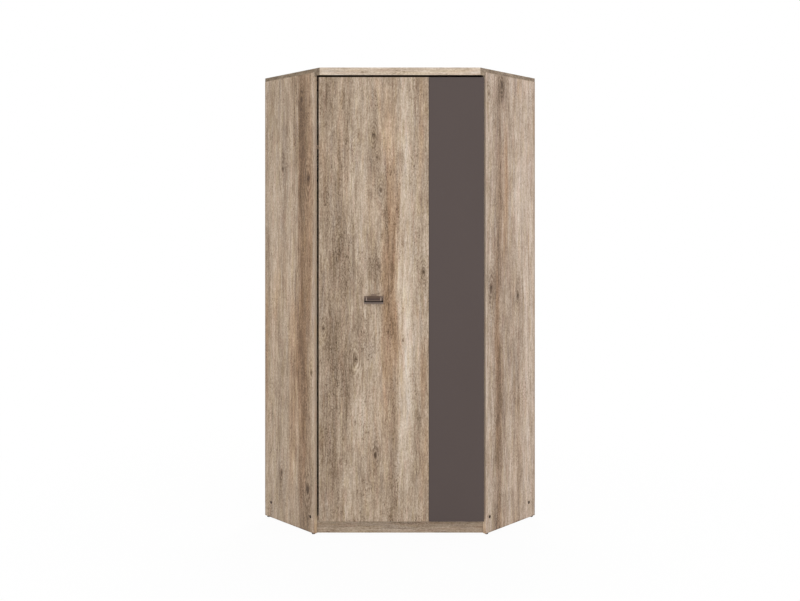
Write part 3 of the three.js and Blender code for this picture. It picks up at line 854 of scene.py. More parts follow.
def nickel(place):
    cloud = place.noise((90, 90, 90), detail=3)
    brushed = place.noise((300, 300, 2600), (1, 6, 2), 3)
    return {
        "Base Color": cloud.mix(srgb(188, 186, 180), srgb(212, 210, 206)),
        "Metallic": 1.0,
        "Roughness": 0.2 + brushed * 0.2 + cloud * 0.06,
        "Normal": place.bump(brushed, 0.00008, 0.3),
    }


nickel_finish = finish("nickelled steel", nickel)


def add(mesh, part, matrix=Matrix()):
    """Moves a part, a mesh in code of its own, into a mesh."""
    bmesh.ops.transform(part, matrix=matrix, verts=part.verts)
    data = bpy.data.meshes.new("part")
    part.to_mesh(data)
    part.free()
    mesh.from_mesh(data)
    bpy.data.meshes.remove(data)


def slab(mesh, low, high, edge, matrix=Matrix(), steps=2):
    """Adds a block with eased edges, given by its lowest and highest corners."""
    size = [b - a for a, b in zip(low, high)]
    middle = [(a + b) / 2 for a, b in zip(low, high)]
    part = bmesh.new()
    bmesh.ops.create_cube(
        part, size=1, matrix=Matrix.Translation(middle) @ Matrix.Diagonal((*size, 1)))
    ease_edges(part, edge, steps)
    add(mesh, part, matrix)


def support_places(side):
    """Where a side's three supports sit: a word, a place in plan, and the way off the board."""
    face = WALL_LEG - BOARD
    yield "front", plan(side, face, SIDE_DEPTH - SUPPORT_INSET), inward(side)
    yield "rear", plan(side, face, SHEET_FACE + SUPPORT_INSET), inward(side)
    yield "corner", plan(side, SHEET_FACE + CORNER_WIDTH / 2, SHEET_FACE + BOARD), off_wall(side)


for side, word in SIDES:
    for where, (x, y), direction in support_places(side):
        place = aim((x, y, shelf_under), direction, "X", "Z")
        mesh = bmesh.new()
        start = (SEAT, -SUPPORT_HALF, -SUPPORT_HEIGHT)
        plate_end = SEAT + SUPPORT_PLATE
        slab(mesh, start, (plate_end, SUPPORT_HALF, 0), SUPPORT_EDGE, place)
        start = (SEAT, -SUPPORT_HALF, -SUPPORT_PLATE)
        slab(mesh, start, (SEAT + SUPPORT_LEDGE, SUPPORT_HALF, 0), SUPPORT_EDGE, place)
        foot = place @ Vector((plate_end - 0.0004, 0, -SUPPORT_DROP))
        round_bar(mesh, foot, -direction, SUPPORT_PIN_LENGTH, SUPPORT_PIN_RADIUS, 20)
        foot = place @ Vector((plate_end - 0.0002, 0, -SUPPORT_DROP))
        round_bar(mesh, foot, direction, RIVET_HEIGHT, RIVET_RADIUS, 20, RIVET_TOP_RADIUS)
        smooth(settle(f"bracket_{word}_{where}", mesh, [nickel_finish], "carcass",
                      f"shelf_support_{word}_{where}"))

# Hat shelf
# A fixed shelf of the oak decor in the upper part, with the same outline as the bottom panel.
# It rests on the six supports, 310 mm under the top.
mesh = prism(inner_outline(), shelf_under, shelf_top)
board("shelf", mesh, [oak("shelf oak", level_axes, 21.7), level_band], "carcass",
      "hat_shelf", UP)

# Back sheets
# Two thin sheets of raw brown fibreboard that close the sides against the walls.
# Each is nailed to the rear edges of its side panel, its corner board, the shelf and the
# bottom panel.
SHEET_EDGE = 0.0003
NAIL_RADIUS = 0.0016
NAIL_SPACING = 0.17
NAIL_INSET = 0.02


def raw_fibreboard(place):
    fibres = place.noise((900, 900, 620), detail=3, rough=0.65)
    flecks = place.noise((1500, 1500, 900), (7, 1, 3), 2).rise(0.62, 0.72)
    cloud = place.noise((7, 7, 4), (2, 3, 5), 3)
    streak = place.noise((40, 40, 3), (1, 8, 5), 3)
    tone = (cloud * 0.3 + fibres * 0.5 + streak * 0.2).ramp(
        (0.3, srgb(120, 94, 68)), (0.5, srgb(150, 121, 91)), (0.7, srgb(174, 146, 114)))
    return {
        "Base Color": (flecks * 0.45).mix(tone, srgb(84, 60, 40)),
        "Roughness": 0.78 + fibres * 0.18,
        "Specular IOR Level": 0.25,
        "Normal": place.bump(fibres + flecks * -0.5, 0.0003, 0.6),
    }


raw_finish = finish("raw fibreboard", raw_fibreboard)
nail_profile = [(0, -0.0006), (NAIL_RADIUS, 0), (NAIL_RADIUS * 0.8, 0.00035), (0, 0.0004)]
for side, word in SIDES:
    low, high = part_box(f"back_sheet_{word}")
    start = SHEET_FACE if side < 0 else 0
    outline = [
        plan(side, start, 0),
        plan(side, WALL_LEG, 0),
        plan(side, WALL_LEG, BACK_SHEET),
        plan(side, start, BACK_SHEET),
    ]
    mesh = prism(outline, low.z, high.z, SHEET_EDGE, 1)
    corner_row = SHEET_FACE + CORNER_WIDTH
    places = []
    upright = int((high.z - low.z) / NAIL_SPACING)
    for i in range(upright + 1):
        height = low.z + NAIL_INSET + i * (high.z - low.z - NAIL_INSET * 2) / upright
        places += [(WALL_LEG - BOARD / 2, height), (corner_row - 0.03, height)]
    for height in (bottom_under + BOARD / 2, (shelf_under + shelf_top) / 2):
        places += [(corner_row + i * NAIL_SPACING * 0.9, height) for i in range(1, 5)]
    nails = bmesh.new()
    for along, height in places:
        x, y = plan(side, along, 0.0001)
        turned(nails, nail_profile, 12, aim((x, y, height), -off_wall(side)))
    for face in nails.faces:
        face.material_index = 1
    add(mesh, nails)
    smooth(settle(f"sheet_{word}", mesh, [raw_finish, nickel_finish], "carcass",
                  f"back_sheet_{word}"))

# Clothes rail
# An oval tube of chromed steel across the hanging space, closed at its ends by two chromed
# brackets. Each hangs under the shelf on two screws and holds an end of the tube in its collar.
rail_low, rail_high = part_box("hanging_rail")
rail_middle = middle_of("hanging_rail")
RAIL_WALL = 0.0012
BRACKET_PLATE = 0.003
BRACKET_HALF = 0.018
BRACKET_FLANGE = 0.034
BRACKET_EDGE = 0.0009
BRACKET_SCREW_OUT = 0.025
BRACKET_SCREW_ASIDE = 0.011
COLLAR_WALL = 0.002
COLLAR_LENGTH = 0.014


def chrome(place):
    cloud = place.noise((60, 60, 60), detail=2)
    hairlines = place.noise((40, 2600, 2600), (3, 1, 8), 2)
    return {
        "Base Color": cloud.mix(srgb(204, 206, 208), srgb(222, 223, 224)),
        "Metallic": 1.0,
        "Roughness": 0.08 + hairlines * 0.1,
        "Normal": place.bump(hairlines, 0.00004, 0.2),
    }


chrome_finish = finish("chromed steel", chrome)


def oval(half_height, radius, steps=12):
    """The outline of an upright oval, as pairs of Y and Z."""
    straight = half_height - radius
    points = []
    for i in range(steps + 1):
        angle = math.pi * i / steps
        points.append((radius * math.cos(angle), straight + radius * math.sin(angle)))
    return points + [(-y, -z) for y, z in points]


def tube(mesh, sections, matrix):
    """Joins ovals, each (x, half height, radius), into one closed skin, the last to the first."""
    rings = [[mesh.verts.new(matrix @ Vector((x, y, z))) for y, z in oval(half, radius)]
             for x, half, radius in sections]
    for ring, after in zip(rings, rings[1:] + rings[:1]):
        belt(mesh, ring, after)


half_height, half_width = (rail_high.z - rail_low.z) / 2, (rail_high.y - rail_low.y) / 2
inner_height, inner_width = half_height - RAIL_WALL, half_width - RAIL_WALL
ease = RAIL_WALL * 0.3
reach = rail_high.x
mesh = bmesh.new()
tube(mesh, [
    (-reach + ease, half_height, half_width),
    (reach - ease, half_height, half_width),
    (reach, half_height - ease, half_width - ease),
    (reach, inner_height + ease, inner_width + ease),
    (reach - ease, inner_height, inner_width),
    (-reach + ease, inner_height, inner_width),
    (-reach, inner_height + ease, inner_width + ease),
    (-reach, half_height - ease, half_width - ease),
], Matrix.Translation((0, rail_middle.y, rail_middle.z)))
smooth(settle("oval_rail", mesh, [chrome_finish], "carcass", "hanging_rail"))

hole_height, hole_width = half_height + SEAT, half_width + SEAT
ring_height, ring_width = hole_height + COLLAR_WALL, hole_width + COLLAR_WALL
mouth = BRACKET_PLATE + COLLAR_LENGTH
collar = [
    (BRACKET_PLATE * 0.5, ring_height, ring_width),
    (mouth - 0.0007, ring_height, ring_width),
    (mouth, ring_height - 0.0007, ring_width - 0.0007),
    (mouth, hole_height + 0.0004, hole_width + 0.0004),
    (mouth - 0.0004, hole_height, hole_width),
    (BRACKET_PLATE * 0.5, hole_height, hole_width),
]
screw_profile = [(0, -0.0014), (0.0012, -0.0013), (0.0026, -0.0008), (0.0032, 0.0001), (0, 0.0002)]
for side, word in SIDES:
    low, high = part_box(f"rail_bracket_{word}")
    outer = low.x if side < 0 else high.x
    place = aim((outer, rail_middle.y, rail_middle.z), (-side, 0, 0), "X", "Z")
    drop = high.z - rail_middle.z
    foot = low.z - rail_middle.z
    mesh = bmesh.new()
    slab(mesh, (0, -BRACKET_HALF, foot), (BRACKET_PLATE, BRACKET_HALF, drop), BRACKET_EDGE,
         place, 3)
    slab(mesh, (0, -BRACKET_HALF, drop - BRACKET_PLATE), (BRACKET_FLANGE, BRACKET_HALF, drop),
         BRACKET_EDGE, place, 3)
    tube(mesh, collar, place)
    for aside in (-BRACKET_SCREW_ASIDE, BRACKET_SCREW_ASIDE):
        head = Matrix.Translation((BRACKET_SCREW_OUT, aside, drop - BRACKET_PLATE))
        turned(mesh, screw_profile, 20, place @ head)
    smooth(settle(f"rail_end_{word}", mesh, [chrome_finish], "carcass",
                  f"rail_bracket_{word}"))

# Door boards
# The door is two upright boards side by side: a wide one in the oak decor and a narrow one in
# matt taupe. Three dowels join them with a fine groove between, and the hinges sit in bores in
# the taupe board.
oak_low, oak_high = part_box("door_oak_board")
taupe_low, taupe_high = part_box("door_taupe_board")
DOOR_EDGE = 0.001
DOOR_DOWEL_DEPTH = 0.0203
CUP_BORE_RADIUS = 0.0178
CUP_BORE_DEPTH = 0.0123
HANDLE_BORE_RADIUS = 0.0023
HANDLE_BORE_DEPTH = 0.02
door_middle_y = (oak_low.y + oak_high.y) / 2
dowel_low, dowel_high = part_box("door_dowel_1")
dowel_heights = [middle_of(f"door_dowel_{i}").z for i in (1, 2, 3)]


def box_outline(low, high):
    return [(low.x, low.y), (high.x, low.y), (high.x, high.y), (low.x, high.y)]


def dowel_bores(edge, direction):
    """The bores for the door's dowels in the meeting edge of a board."""
    return [((edge, door_middle_y, height), (direction, 0, 0), DOOR_DOWEL_DEPTH,
             DOWEL_RADIUS + SEAT) for height in dowel_heights]


def door_axes(place):
    x, y, z = place.parts()
    return x, z, y


DOOR_PATCHES = [
    (0.022, 1.1, 0.056, 2.6, 0.2, -0.1),
    (0.03, 0.75, 0.045, 0.5, 0.12, 0.0),
    (0.0, 0.55, 0.035, 0.5, 0.1, 0.1),
    (-0.045, 1.15, 0.055, 0.7, -0.12, 0.7),
    (-0.03, 1.1, 0.05, 2.6, -0.06, 0.5),
    (-0.06, 1.75, 0.04, 0.3, 0.09, 0.4),
    (-0.07, 0.4, 0.05, 0.45, 0.06, 0.3),
    (-0.1, 1.62, 0.05, 0.24, -0.13, -0.1),
    (-0.11, 1.2, 0.035, 0.22, -0.2, 0.0),
    (-0.3, 1.86, 0.07, 0.14, -0.16, -0.1),
    (-0.255, 0.72, 0.085, 0.34, -0.2, 0.1),
    (-0.28, 0.3, 0.09, 0.4, -0.18, 0.0),
    (-0.26, 1.25, 0.04, 0.5, -0.13, -0.1),
    (-0.21, 1.08, 0.05, 0.25, -0.18, 0.0),
    (-0.155, 1.0, 0.04, 0.28, -0.13, 0.1),
    (-0.19, 1.55, 0.045, 0.4, 0.07, -0.1),
    (-0.165, 0.55, 0.045, 0.3, 0.14, 0.0),
    (-0.105, 0.32, 0.06, 0.22, -0.13, 0.0),
    (-0.315, 1.5, 0.03, 0.5, -0.05, 0.1),
    (0.1, 1.12, 0.025, 0.12, -0.14, 0.1),
    (0.095, 0.7, 0.04, 0.3, 0.07, 0.5),
    (0.085, 1.6, 0.03, 0.5, 0.03, 0.3),
    (0.1, 0.3, 0.04, 0.3, 0.02, 0.3),
    (-0.09, 1.9, 0.05, 0.1, 0.05, 0.2),
    (-0.3, 1.28, 0.075, 0.8, -0.11, 0.0),
    (-0.21, 0.84, 0.04, 0.2, -0.1, 0.0),
    (-0.03, 1.72, 0.06, 0.3, 0.1, 0.0),
]
DOOR_KNOTS = [
    (-0.3236, 0.8805, 0.005), (-0.188, 0.748, 0.009), (-0.112, 1.7, 0.006), (-0.0973, 1.606, 0.004),
    (-0.0804, 1.467, 0.005), (0.0127, 0.833, 0.004), (0.1, 1.12, 0.006), (-0.105, 0.345, 0.007),
]
door_band = oak("door band", door_axes, 24.5, tone=-0.2)
oak_finishes = [oak("door oak", door_axes, 2.6, DOOR_PATCHES, DOOR_KNOTS), door_band]
bores = dowel_bores(oak_high.x, -1)
for word in ("left", "right"):
    middle = middle_of(f"handle_screw_{word}")
    mouth = (middle.x, oak_high.y, middle.z)
    bores.append((mouth, (0, -1, 0), HANDLE_BORE_DEPTH, HANDLE_BORE_RADIUS))
mesh = prism(box_outline(oak_low, oak_high), oak_low.z, oak_high.z, DOOR_EDGE, 3)
board("door_oak", mesh, oak_finishes, "door", "door_oak_board", DEPTHWISE, bores)


def matt_taupe(place):
    grain = place.noise((1300, 1300, 1300), detail=3, rough=0.6)
    pearl = place.noise((420, 420, 420), (5, 2, 9), 2)
    cloud = place.noise((2.5, 2.5, 1.6), (1, 4, 3), 2)
    lighter_spots = place.noise((30, 30, 12), (6, 3, 2), 3).rise(0.62, 0.85)
    tone = (cloud * 0.6 + grain * 0.4).ramp((0.3, srgb(82, 71, 68)), (0.7, srgb(86, 75, 72)))
    return {
        "Base Color": (lighter_spots * 0.1).mix(tone, srgb(96, 85, 81)),
        "Roughness": 0.54 + pearl * 0.14 - lighter_spots * 0.05,
        "Specular IOR Level": 0.25,
        "Normal": place.bump(grain * 0.6 + pearl * 0.5, 0.00012, 0.45),
    }


def taupe_band(place):
    look = matt_taupe(place)
    cloud = place.noise((90, 90, 30), (2, 3, 1), 2)
    # The edge band is painted darker than the face, as painted shade in the groove where the two
    # boards meet.
    look["Base Color"] = cloud.mix(srgb(56, 46, 43), srgb(64, 54, 51))
    return look


taupe_finishes = [finish("matt taupe", matt_taupe), finish("taupe edge band", taupe_band)]
cup_x = middle_of("hinge_cup_1").x
hinge_heights = [middle_of(f"hinge_cup_{i}").z for i in (1, 2, 3, 4)]
bores = dowel_bores(taupe_low.x, 1)
bores += [((cup_x, taupe_high.y, height), (0, -1, 0), CUP_BORE_DEPTH, CUP_BORE_RADIUS)
          for height in hinge_heights]
mesh = prism(box_outline(taupe_low, taupe_high), taupe_low.z, taupe_high.z, DOOR_EDGE, 3)
board("door_taupe", mesh, taupe_finishes, "door", "door_taupe_board", DEPTHWISE,
      bores)

for i, height in enumerate(dowel_heights, 1):
    mesh = bmesh.new()
    start = (dowel_low.x, door_middle_y, height)
    dowel(mesh, start, (1, 0, 0), dowel_high.x - dowel_low.x)
    settle(f"grooved_door_dowel_{i}", mesh, [beech_finish], "door", f"door_dowel_{i}")

# Handle
# A cast cup pull in dark antique bronze: a plate with a raised tab, a hollow cup that opens
# downwards, and a bar along the foot. Two screws from the back of the door hold it by the
# bosses inside the cup.
PLATE_HEIGHT = 0.0335
PLATE_THICKNESS = 0.0025
PLATE_EDGE = 0.0007
TAB_HALF = 0.0155
CUP_HALF_LENGTH = 0.035
CUP_RISE = 0.0128
CUP_HEIGHT = 0.0203
CUP_WALL = 0.002
CUP_POWER = 3.5
BOSS_SPACING = 0.064
BOSS_RISE = 0.017
BOSS_LENGTH = 0.0072
BOSS_RADIUS = 0.0042
BAR_HEIGHT = 0.008
BAR_THICKNESS = 0.0035
BAR_EDGE = 0.0012
OVERLAP = 0.0004  # how far the cup and its bosses reach into the plate
pull_low, pull_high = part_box("handle_pull")
pull_middle = (pull_low.x + pull_high.x) / 2
pull_half = (pull_high.x - pull_low.x) / 2
plate_back, plate_face = pull_high.y, pull_high.y - PLATE_THICKNESS
cup_reach = plate_face - pull_low.y
foot = pull_low.z


def antique_bronze(place):
    cast = place.noise((420, 420, 420), detail=4, rough=0.6)
    cloud = place.noise((110, 110, 110), (2, 6, 1), 3)
    edges = place.node("NewGeometry", {}, {}, "Pointiness").rise(0.51, 0.57)
    hollows = place.node("NewGeometry", {}, {}, "Pointiness").rise(0.497, 0.46)
    worn = edges * cast.rise(0.35, 0.65) * 0.4
    x, _, z = place.parts()
    aside = (x - pull_middle).math("ABSOLUTE")
    # The bright upright strips near both ends of the cup are painted highlights, a painted
    # reflection of the side lamps, and they are made glossier there.
    lighter_spots = aside.band(0.0305, 0.0034) * z.band(foot + 0.0222, 0.0105) * (cast * 0.5 + 0.65)
    # The plate between the bar and the cup's rim is painted nearly black, as painted shade under
    # the cup.
    under = z.rise(foot + CUP_RISE + 0.0012, foot + CUP_RISE)
    under = under * z.rise(foot + BAR_HEIGHT - 0.001, foot + BAR_HEIGHT)
    tone = cloud.mix(srgb(64, 50, 44), srgb(86, 69, 62))
    tone = worn.mix(tone, srgb(150, 130, 112))
    # The bar, the upper plate, the top of the tab and a line along the cup's rim are painted
    # lighter, as painted highlights where light falls on them.
    bar = z.rise(foot + BAR_HEIGHT, foot + BAR_HEIGHT - 0.001)
    upper = z.rise(foot + 0.021, foot + 0.031) * 0.34
    tab = z.rise(foot + PLATE_HEIGHT - 0.002, foot + PLATE_HEIGHT + 0.001) * 0.2
    rim = z.band(foot + 0.0152, 0.003) * 0.2
    tone = (upper + tab + rim).mix(tone, srgb(158, 136, 118))
    tone = (lighter_spots + bar * 0.2).mix(tone, srgb(208, 190, 178))
    # The lower ends of the cup are painted dark as painted shade, and the hollows are darker both
    # as patina and as painted shade.
    corners = aside.rise(0.033, 0.0365) * z.band(foot + 0.0115, 0.0055)
    dark = hollows * 0.7 + under * 0.9 + corners * 0.9
    return {
        "Base Color": dark.math("MINIMUM", 1).mix(tone, srgb(24, 18, 14)),
        "Metallic": 0.55,
        "Roughness": 0.42 + cast * 0.2 - lighter_spots * 0.14,
        "Normal": place.bump(cast, 0.00018, 0.5),
    }


bronze_finish = finish("antique bronze", antique_bronze)


def curve(points, steps=6):
    """The points after the start of a curve through four control points."""
    for i in range(1, steps + 1):
        t = i / steps
        shares = ((1 - t) ** 3, 3 * t * (1 - t) ** 2, 3 * t * t * (1 - t), t**3)
        yield tuple(sum(share * point[k] for share, point in zip(shares, points)) for k in (0, 1))


tab_rise = pull_high.z - foot
right_half = [(pull_half, 0), (pull_half, PLATE_HEIGHT), (TAB_HALF, PLATE_HEIGHT)]
right_half += curve([(TAB_HALF, PLATE_HEIGHT), (TAB_HALF / 2, PLATE_HEIGHT),
                     (TAB_HALF, tab_rise), (TAB_HALF / 2, tab_rise)])
plate_outline = right_half + [(-x, z) for x, z in reversed(right_half)]
mesh = bmesh.new()
front, back = ([mesh.verts.new((pull_middle + x, y, foot + z)) for x, z in plate_outline]
               for y in (plate_face, plate_back))
mesh.faces.new(front)
mesh.faces.new(back[::-1])
belt(mesh, back, front)
bmesh.ops.recalc_face_normals(mesh, faces=mesh.faces)
ease_edges(mesh, PLATE_EDGE, 3)
slab(mesh, (pull_middle - pull_half, plate_face - BAR_THICKNESS, foot),
     (pull_middle + pull_half, plate_face + 0.001, foot + BAR_HEIGHT), BAR_EDGE, steps=4)


def cup_point(inset, along, turn):
    """A point of the cup: along goes from end to end and turn from the rim up to the plate."""
    length, radius = CUP_HALF_LENGTH - inset, cup_reach - inset
    rise = (CUP_HEIGHT - inset) / radius
    angle = math.pi * along
    across = math.copysign(abs(math.cos(angle)) ** (2 / CUP_POWER), math.cos(angle)) * length
    reach = max(math.sin(angle), 0) ** (2 / CUP_POWER) * radius
    return Vector((
        pull_middle - across,
        plate_face + OVERLAP - reach * math.cos(turn),
        foot + CUP_RISE + reach * rise * math.sin(turn),
    ))


along_steps, turn_steps = 48, 18
outside, inside = (
    [[mesh.verts.new(cup_point(inset, a / along_steps, math.pi / 2 * t / turn_steps))
      for a in range(along_steps + 1)] for t in range(turn_steps + 1)]
    for inset in (0, CUP_WALL))
for a in range(along_steps):
    for t in range(turn_steps):
        for skin in (outside, inside):
            corners = [skin[t][a], skin[t][a + 1], skin[t + 1][a + 1], skin[t + 1][a]]
            mesh.faces.new(corners if skin is outside else corners[::-1])
    mesh.faces.new((outside[0][a + 1], outside[0][a], inside[0][a], inside[0][a + 1]))
bmesh.ops.remove_doubles(mesh, verts=mesh.verts, dist=0.00002)
for side in (-1, 1):
    boss = (pull_middle + side * BOSS_SPACING / 2, plate_face + OVERLAP, foot + BOSS_RISE)
    round_bar(mesh, boss, (0, -1, 0), BOSS_LENGTH, BOSS_RADIUS, 28)
nub_place = (pull_middle, plate_face - BAR_THICKNESS * 0.6, foot + 0.0006)
nub_profile = [(0, -0.001), (0.0024, 0), (0.0022, 0.0012), (0.0012, 0.002), (0, 0.0022)]
turned(mesh, nub_profile, 20, Matrix.Translation(nub_place) @ Matrix.Rotation(math.pi, 4, "X"))
smooth(settle("cup_pull", mesh, [bronze_finish], "door", "handle_pull"), 50)

# Handle screws
# Two nickelled pan head screws with a cross recess, through the oak board into the cup pull.
# Their heads lie on the back of the door.
HANDLE_SHANK_RADIUS = 0.002
BACKWARD = Matrix.Rotation(-math.pi / 2, 4, "X")


def cross_head(mesh, matrix, radius, height):
    """Adds a domed screw head on the local XY plane, with a cross recess in its top."""
    rim = radius * 0.66
    turned(mesh, [
        (0, 0), (radius * 0.96, 0), (radius, height * 0.15), (radius * 0.93, height * 0.6),
        (radius * 0.8, height * 0.88), (rim, height),
    ], 24, matrix)
    arm, half = radius * 0.5, radius * 0.13
    quarter = [(half, half), (half, arm), (-half, arm)]
    cross = []
    for _ in range(4):
        cross += quarter
        quarter = [(-y, x) for x, y in quarter]
    recess(mesh, matrix @ Matrix.Translation((0, 0, height)), rim, cross, height * 0.7)


for word in ("left", "right"):
    low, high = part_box(f"handle_screw_{word}")
    middle = middle_of(f"handle_screw_{word}")
    mesh = bmesh.new()
    head_y = oak_high.y + SEAT
    head = Matrix.Translation((middle.x, head_y, middle.z)) @ BACKWARD
    cross_head(mesh, head, (high.x - low.x) / 2, high.y - head_y)
    start_y = head_y + 0.0002
    round_bar(mesh, (middle.x, start_y, middle.z), (0, -1, 0), start_y - low.y,
              HANDLE_SHANK_RADIUS, 20)
    smooth(settle(f"pull_screw_{word}", mesh, [nickel_finish], "door",
                  f"handle_screw_{word}"))

# Hinges
# Four sprung cup hinges of nickelled steel hold the door's taupe side. A mounting plate is
# screwed to the inside of the right side panel, and a bent arm on it hooks into a cup that is
# screwed into the door's back.
CUP_RADIUS = 0.0175
CUP_INSIDE = 0.0165
CUP_DEPTH = 0.012
FLANGE_RADIUS = 0.0195
FLANGE = 0.0012
EAR_HALF = 0.0065
EAR_REACH = 0.031
EAR_SCREW = 0.0245
EAR_SCREW_RADIUS = 0.004
ARM_STRAP = 0.0038
ARM_HALF = 0.006
ARM_OFFSET = 0.0073
ARM_BEHIND_PIN = 0.0005
ARM_REACH = 0.0155
ARM_RISE = 0.02
ARM_START = 0.008
ARM_END = 0.058
ARM_SCREWS = ((0.022, 0.0032), (0.048, 0.0044))  # how far behind the front end, and radius
ARM_SCREW_HEIGHT = 0.0014
PAD_MIDDLE = 0.0355
PAD_HALF = 0.0075
PAD_HALF_HEIGHT = 0.0046
PAD_THICK = 0.0007
EYE_RADIUS = 0.003
EYE_BORE = 0.0018
PIN_RADIUS = 0.0015
PLATE_MIDDLE = 0.036
PLATE_HALF = 0.014
PLATE_HALF_HEIGHT = 0.026
PLATE_THICK = 0.0022
PLATE_SCREW_RISE = 0.0165
PLATE_SCREW_RADIUS = 0.0038
BOSS_MIDDLE = 0.0345
BOSS_HALF = 0.0235
BOSS_HALF_HEIGHT = 0.007
BOSS_THICK = 0.0048
HEAD_HEIGHT = 0.0013
pin_low, pin_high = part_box("hinge_pin_1")
pin_x, pin_y = (pin_low.x + pin_high.x) / 2, (pin_low.y + pin_high.y) / 2
pin_half = (pin_high.z - pin_low.z) / 2


def strap(line, thickness):
    """The outline of a bent strip along a line in plan, with mitred bends."""
    points = [Vector(point) for point in line]
    across = []
    for a, b in zip(points, points[1:]):
        direction = (b - a).normalized()
        across.append(Vector((-direction.y, direction.x)))
    left, right = [], []
    for i, point in enumerate(points):
        before, after = across[max(i - 1, 0)], across[min(i, len(across) - 1)]
        mitre = (before + after) * (thickness / 2 / (1 + before.dot(after)))
        left.append(point + mitre)
        right.append(point - mitre)
    return left + right[::-1]


def rounded(half, half_height, radius, steps=5):
    """The outline of a rectangle with rounded corners."""
    points = []
    for quarter, (x, y) in enumerate(((1, 1), (-1, 1), (-1, -1), (1, -1))):
        for i in range(steps + 1):
            angle = math.pi / 2 * (quarter + i / steps)
            points.append((x * (half - radius) + radius * math.cos(angle),
                           y * (half_height - radius) + radius * math.sin(angle)))
    return points


def on_side_panel(behind, height, off=0):
    """A matrix inside the right panel: local X to the front, Y up and Z off the face."""
    x, y = plan(1, INNER_LEG, SIDE_DEPTH - behind)
    return Matrix.Translation((x, y, height)) @ Matrix((
        (-COS45, 0, -COS45, 0),
        (-COS45, 0, COS45, 0),
        (0, 1, 0, 0),
        (0, 0, 0, 1),
    )) @ Matrix.Translation((0, 0, off))


arm_leg = WALL_LEG - BOARD - ARM_OFFSET
arm_y = pin_y - ARM_BEHIND_PIN
arm_outline = strap([
    (pin_x, arm_y),
    (pin_x - ARM_REACH, arm_y),
    (pin_x - ARM_REACH, pin_y + ARM_RISE),
    plan(1, arm_leg, SIDE_DEPTH - ARM_START),
    plan(1, arm_leg, SIDE_DEPTH - ARM_END),
], ARM_STRAP)
arm_face = ARM_OFFSET + ARM_STRAP / 2 - SEAT - 0.0001
eye_profile = [
    (EYE_BORE, -ARM_HALF), (EYE_RADIUS - 0.0003, -ARM_HALF), (EYE_RADIUS, -ARM_HALF + 0.0003),
    (EYE_RADIUS, ARM_HALF - 0.0003), (EYE_RADIUS - 0.0003, ARM_HALF), (EYE_BORE, ARM_HALF),
    (EYE_BORE, -ARM_HALF),
]
flange_top = SEAT + FLANGE
cup_profile = [
    (0, -CUP_DEPTH), (CUP_RADIUS - 0.0008, -CUP_DEPTH), (CUP_RADIUS, -CUP_DEPTH + 0.0008),
    (CUP_RADIUS, SEAT), (FLANGE_RADIUS - 0.0004, SEAT), (FLANGE_RADIUS, SEAT + 0.0004),
    (FLANGE_RADIUS, flange_top - 0.0004), (FLANGE_RADIUS - 0.0004, flange_top),
    (CUP_INSIDE + 0.0006, flange_top), (CUP_INSIDE, flange_top - 0.0006),
    (CUP_INSIDE, -CUP_DEPTH + 0.0018), (CUP_INSIDE - 0.0008, -CUP_DEPTH + 0.001),
    (0, -CUP_DEPTH + 0.001),
]
ear = [(-EAR_HALF, CUP_RADIUS - 0.0001), (EAR_HALF, CUP_RADIUS - 0.0001)]
ear += [(EAR_HALF * math.cos(math.pi * n / 12),
         EAR_REACH - EAR_HALF + EAR_HALF * math.sin(math.pi * n / 12)) for n in range(13)]
pin_profile = [
    (0, -pin_half), (PIN_RADIUS - 0.0004, -pin_half), (PIN_RADIUS, -pin_half + 0.0004),
    (PIN_RADIUS, pin_half - 0.0004), (PIN_RADIUS - 0.0004, pin_half), (0, pin_half),
]
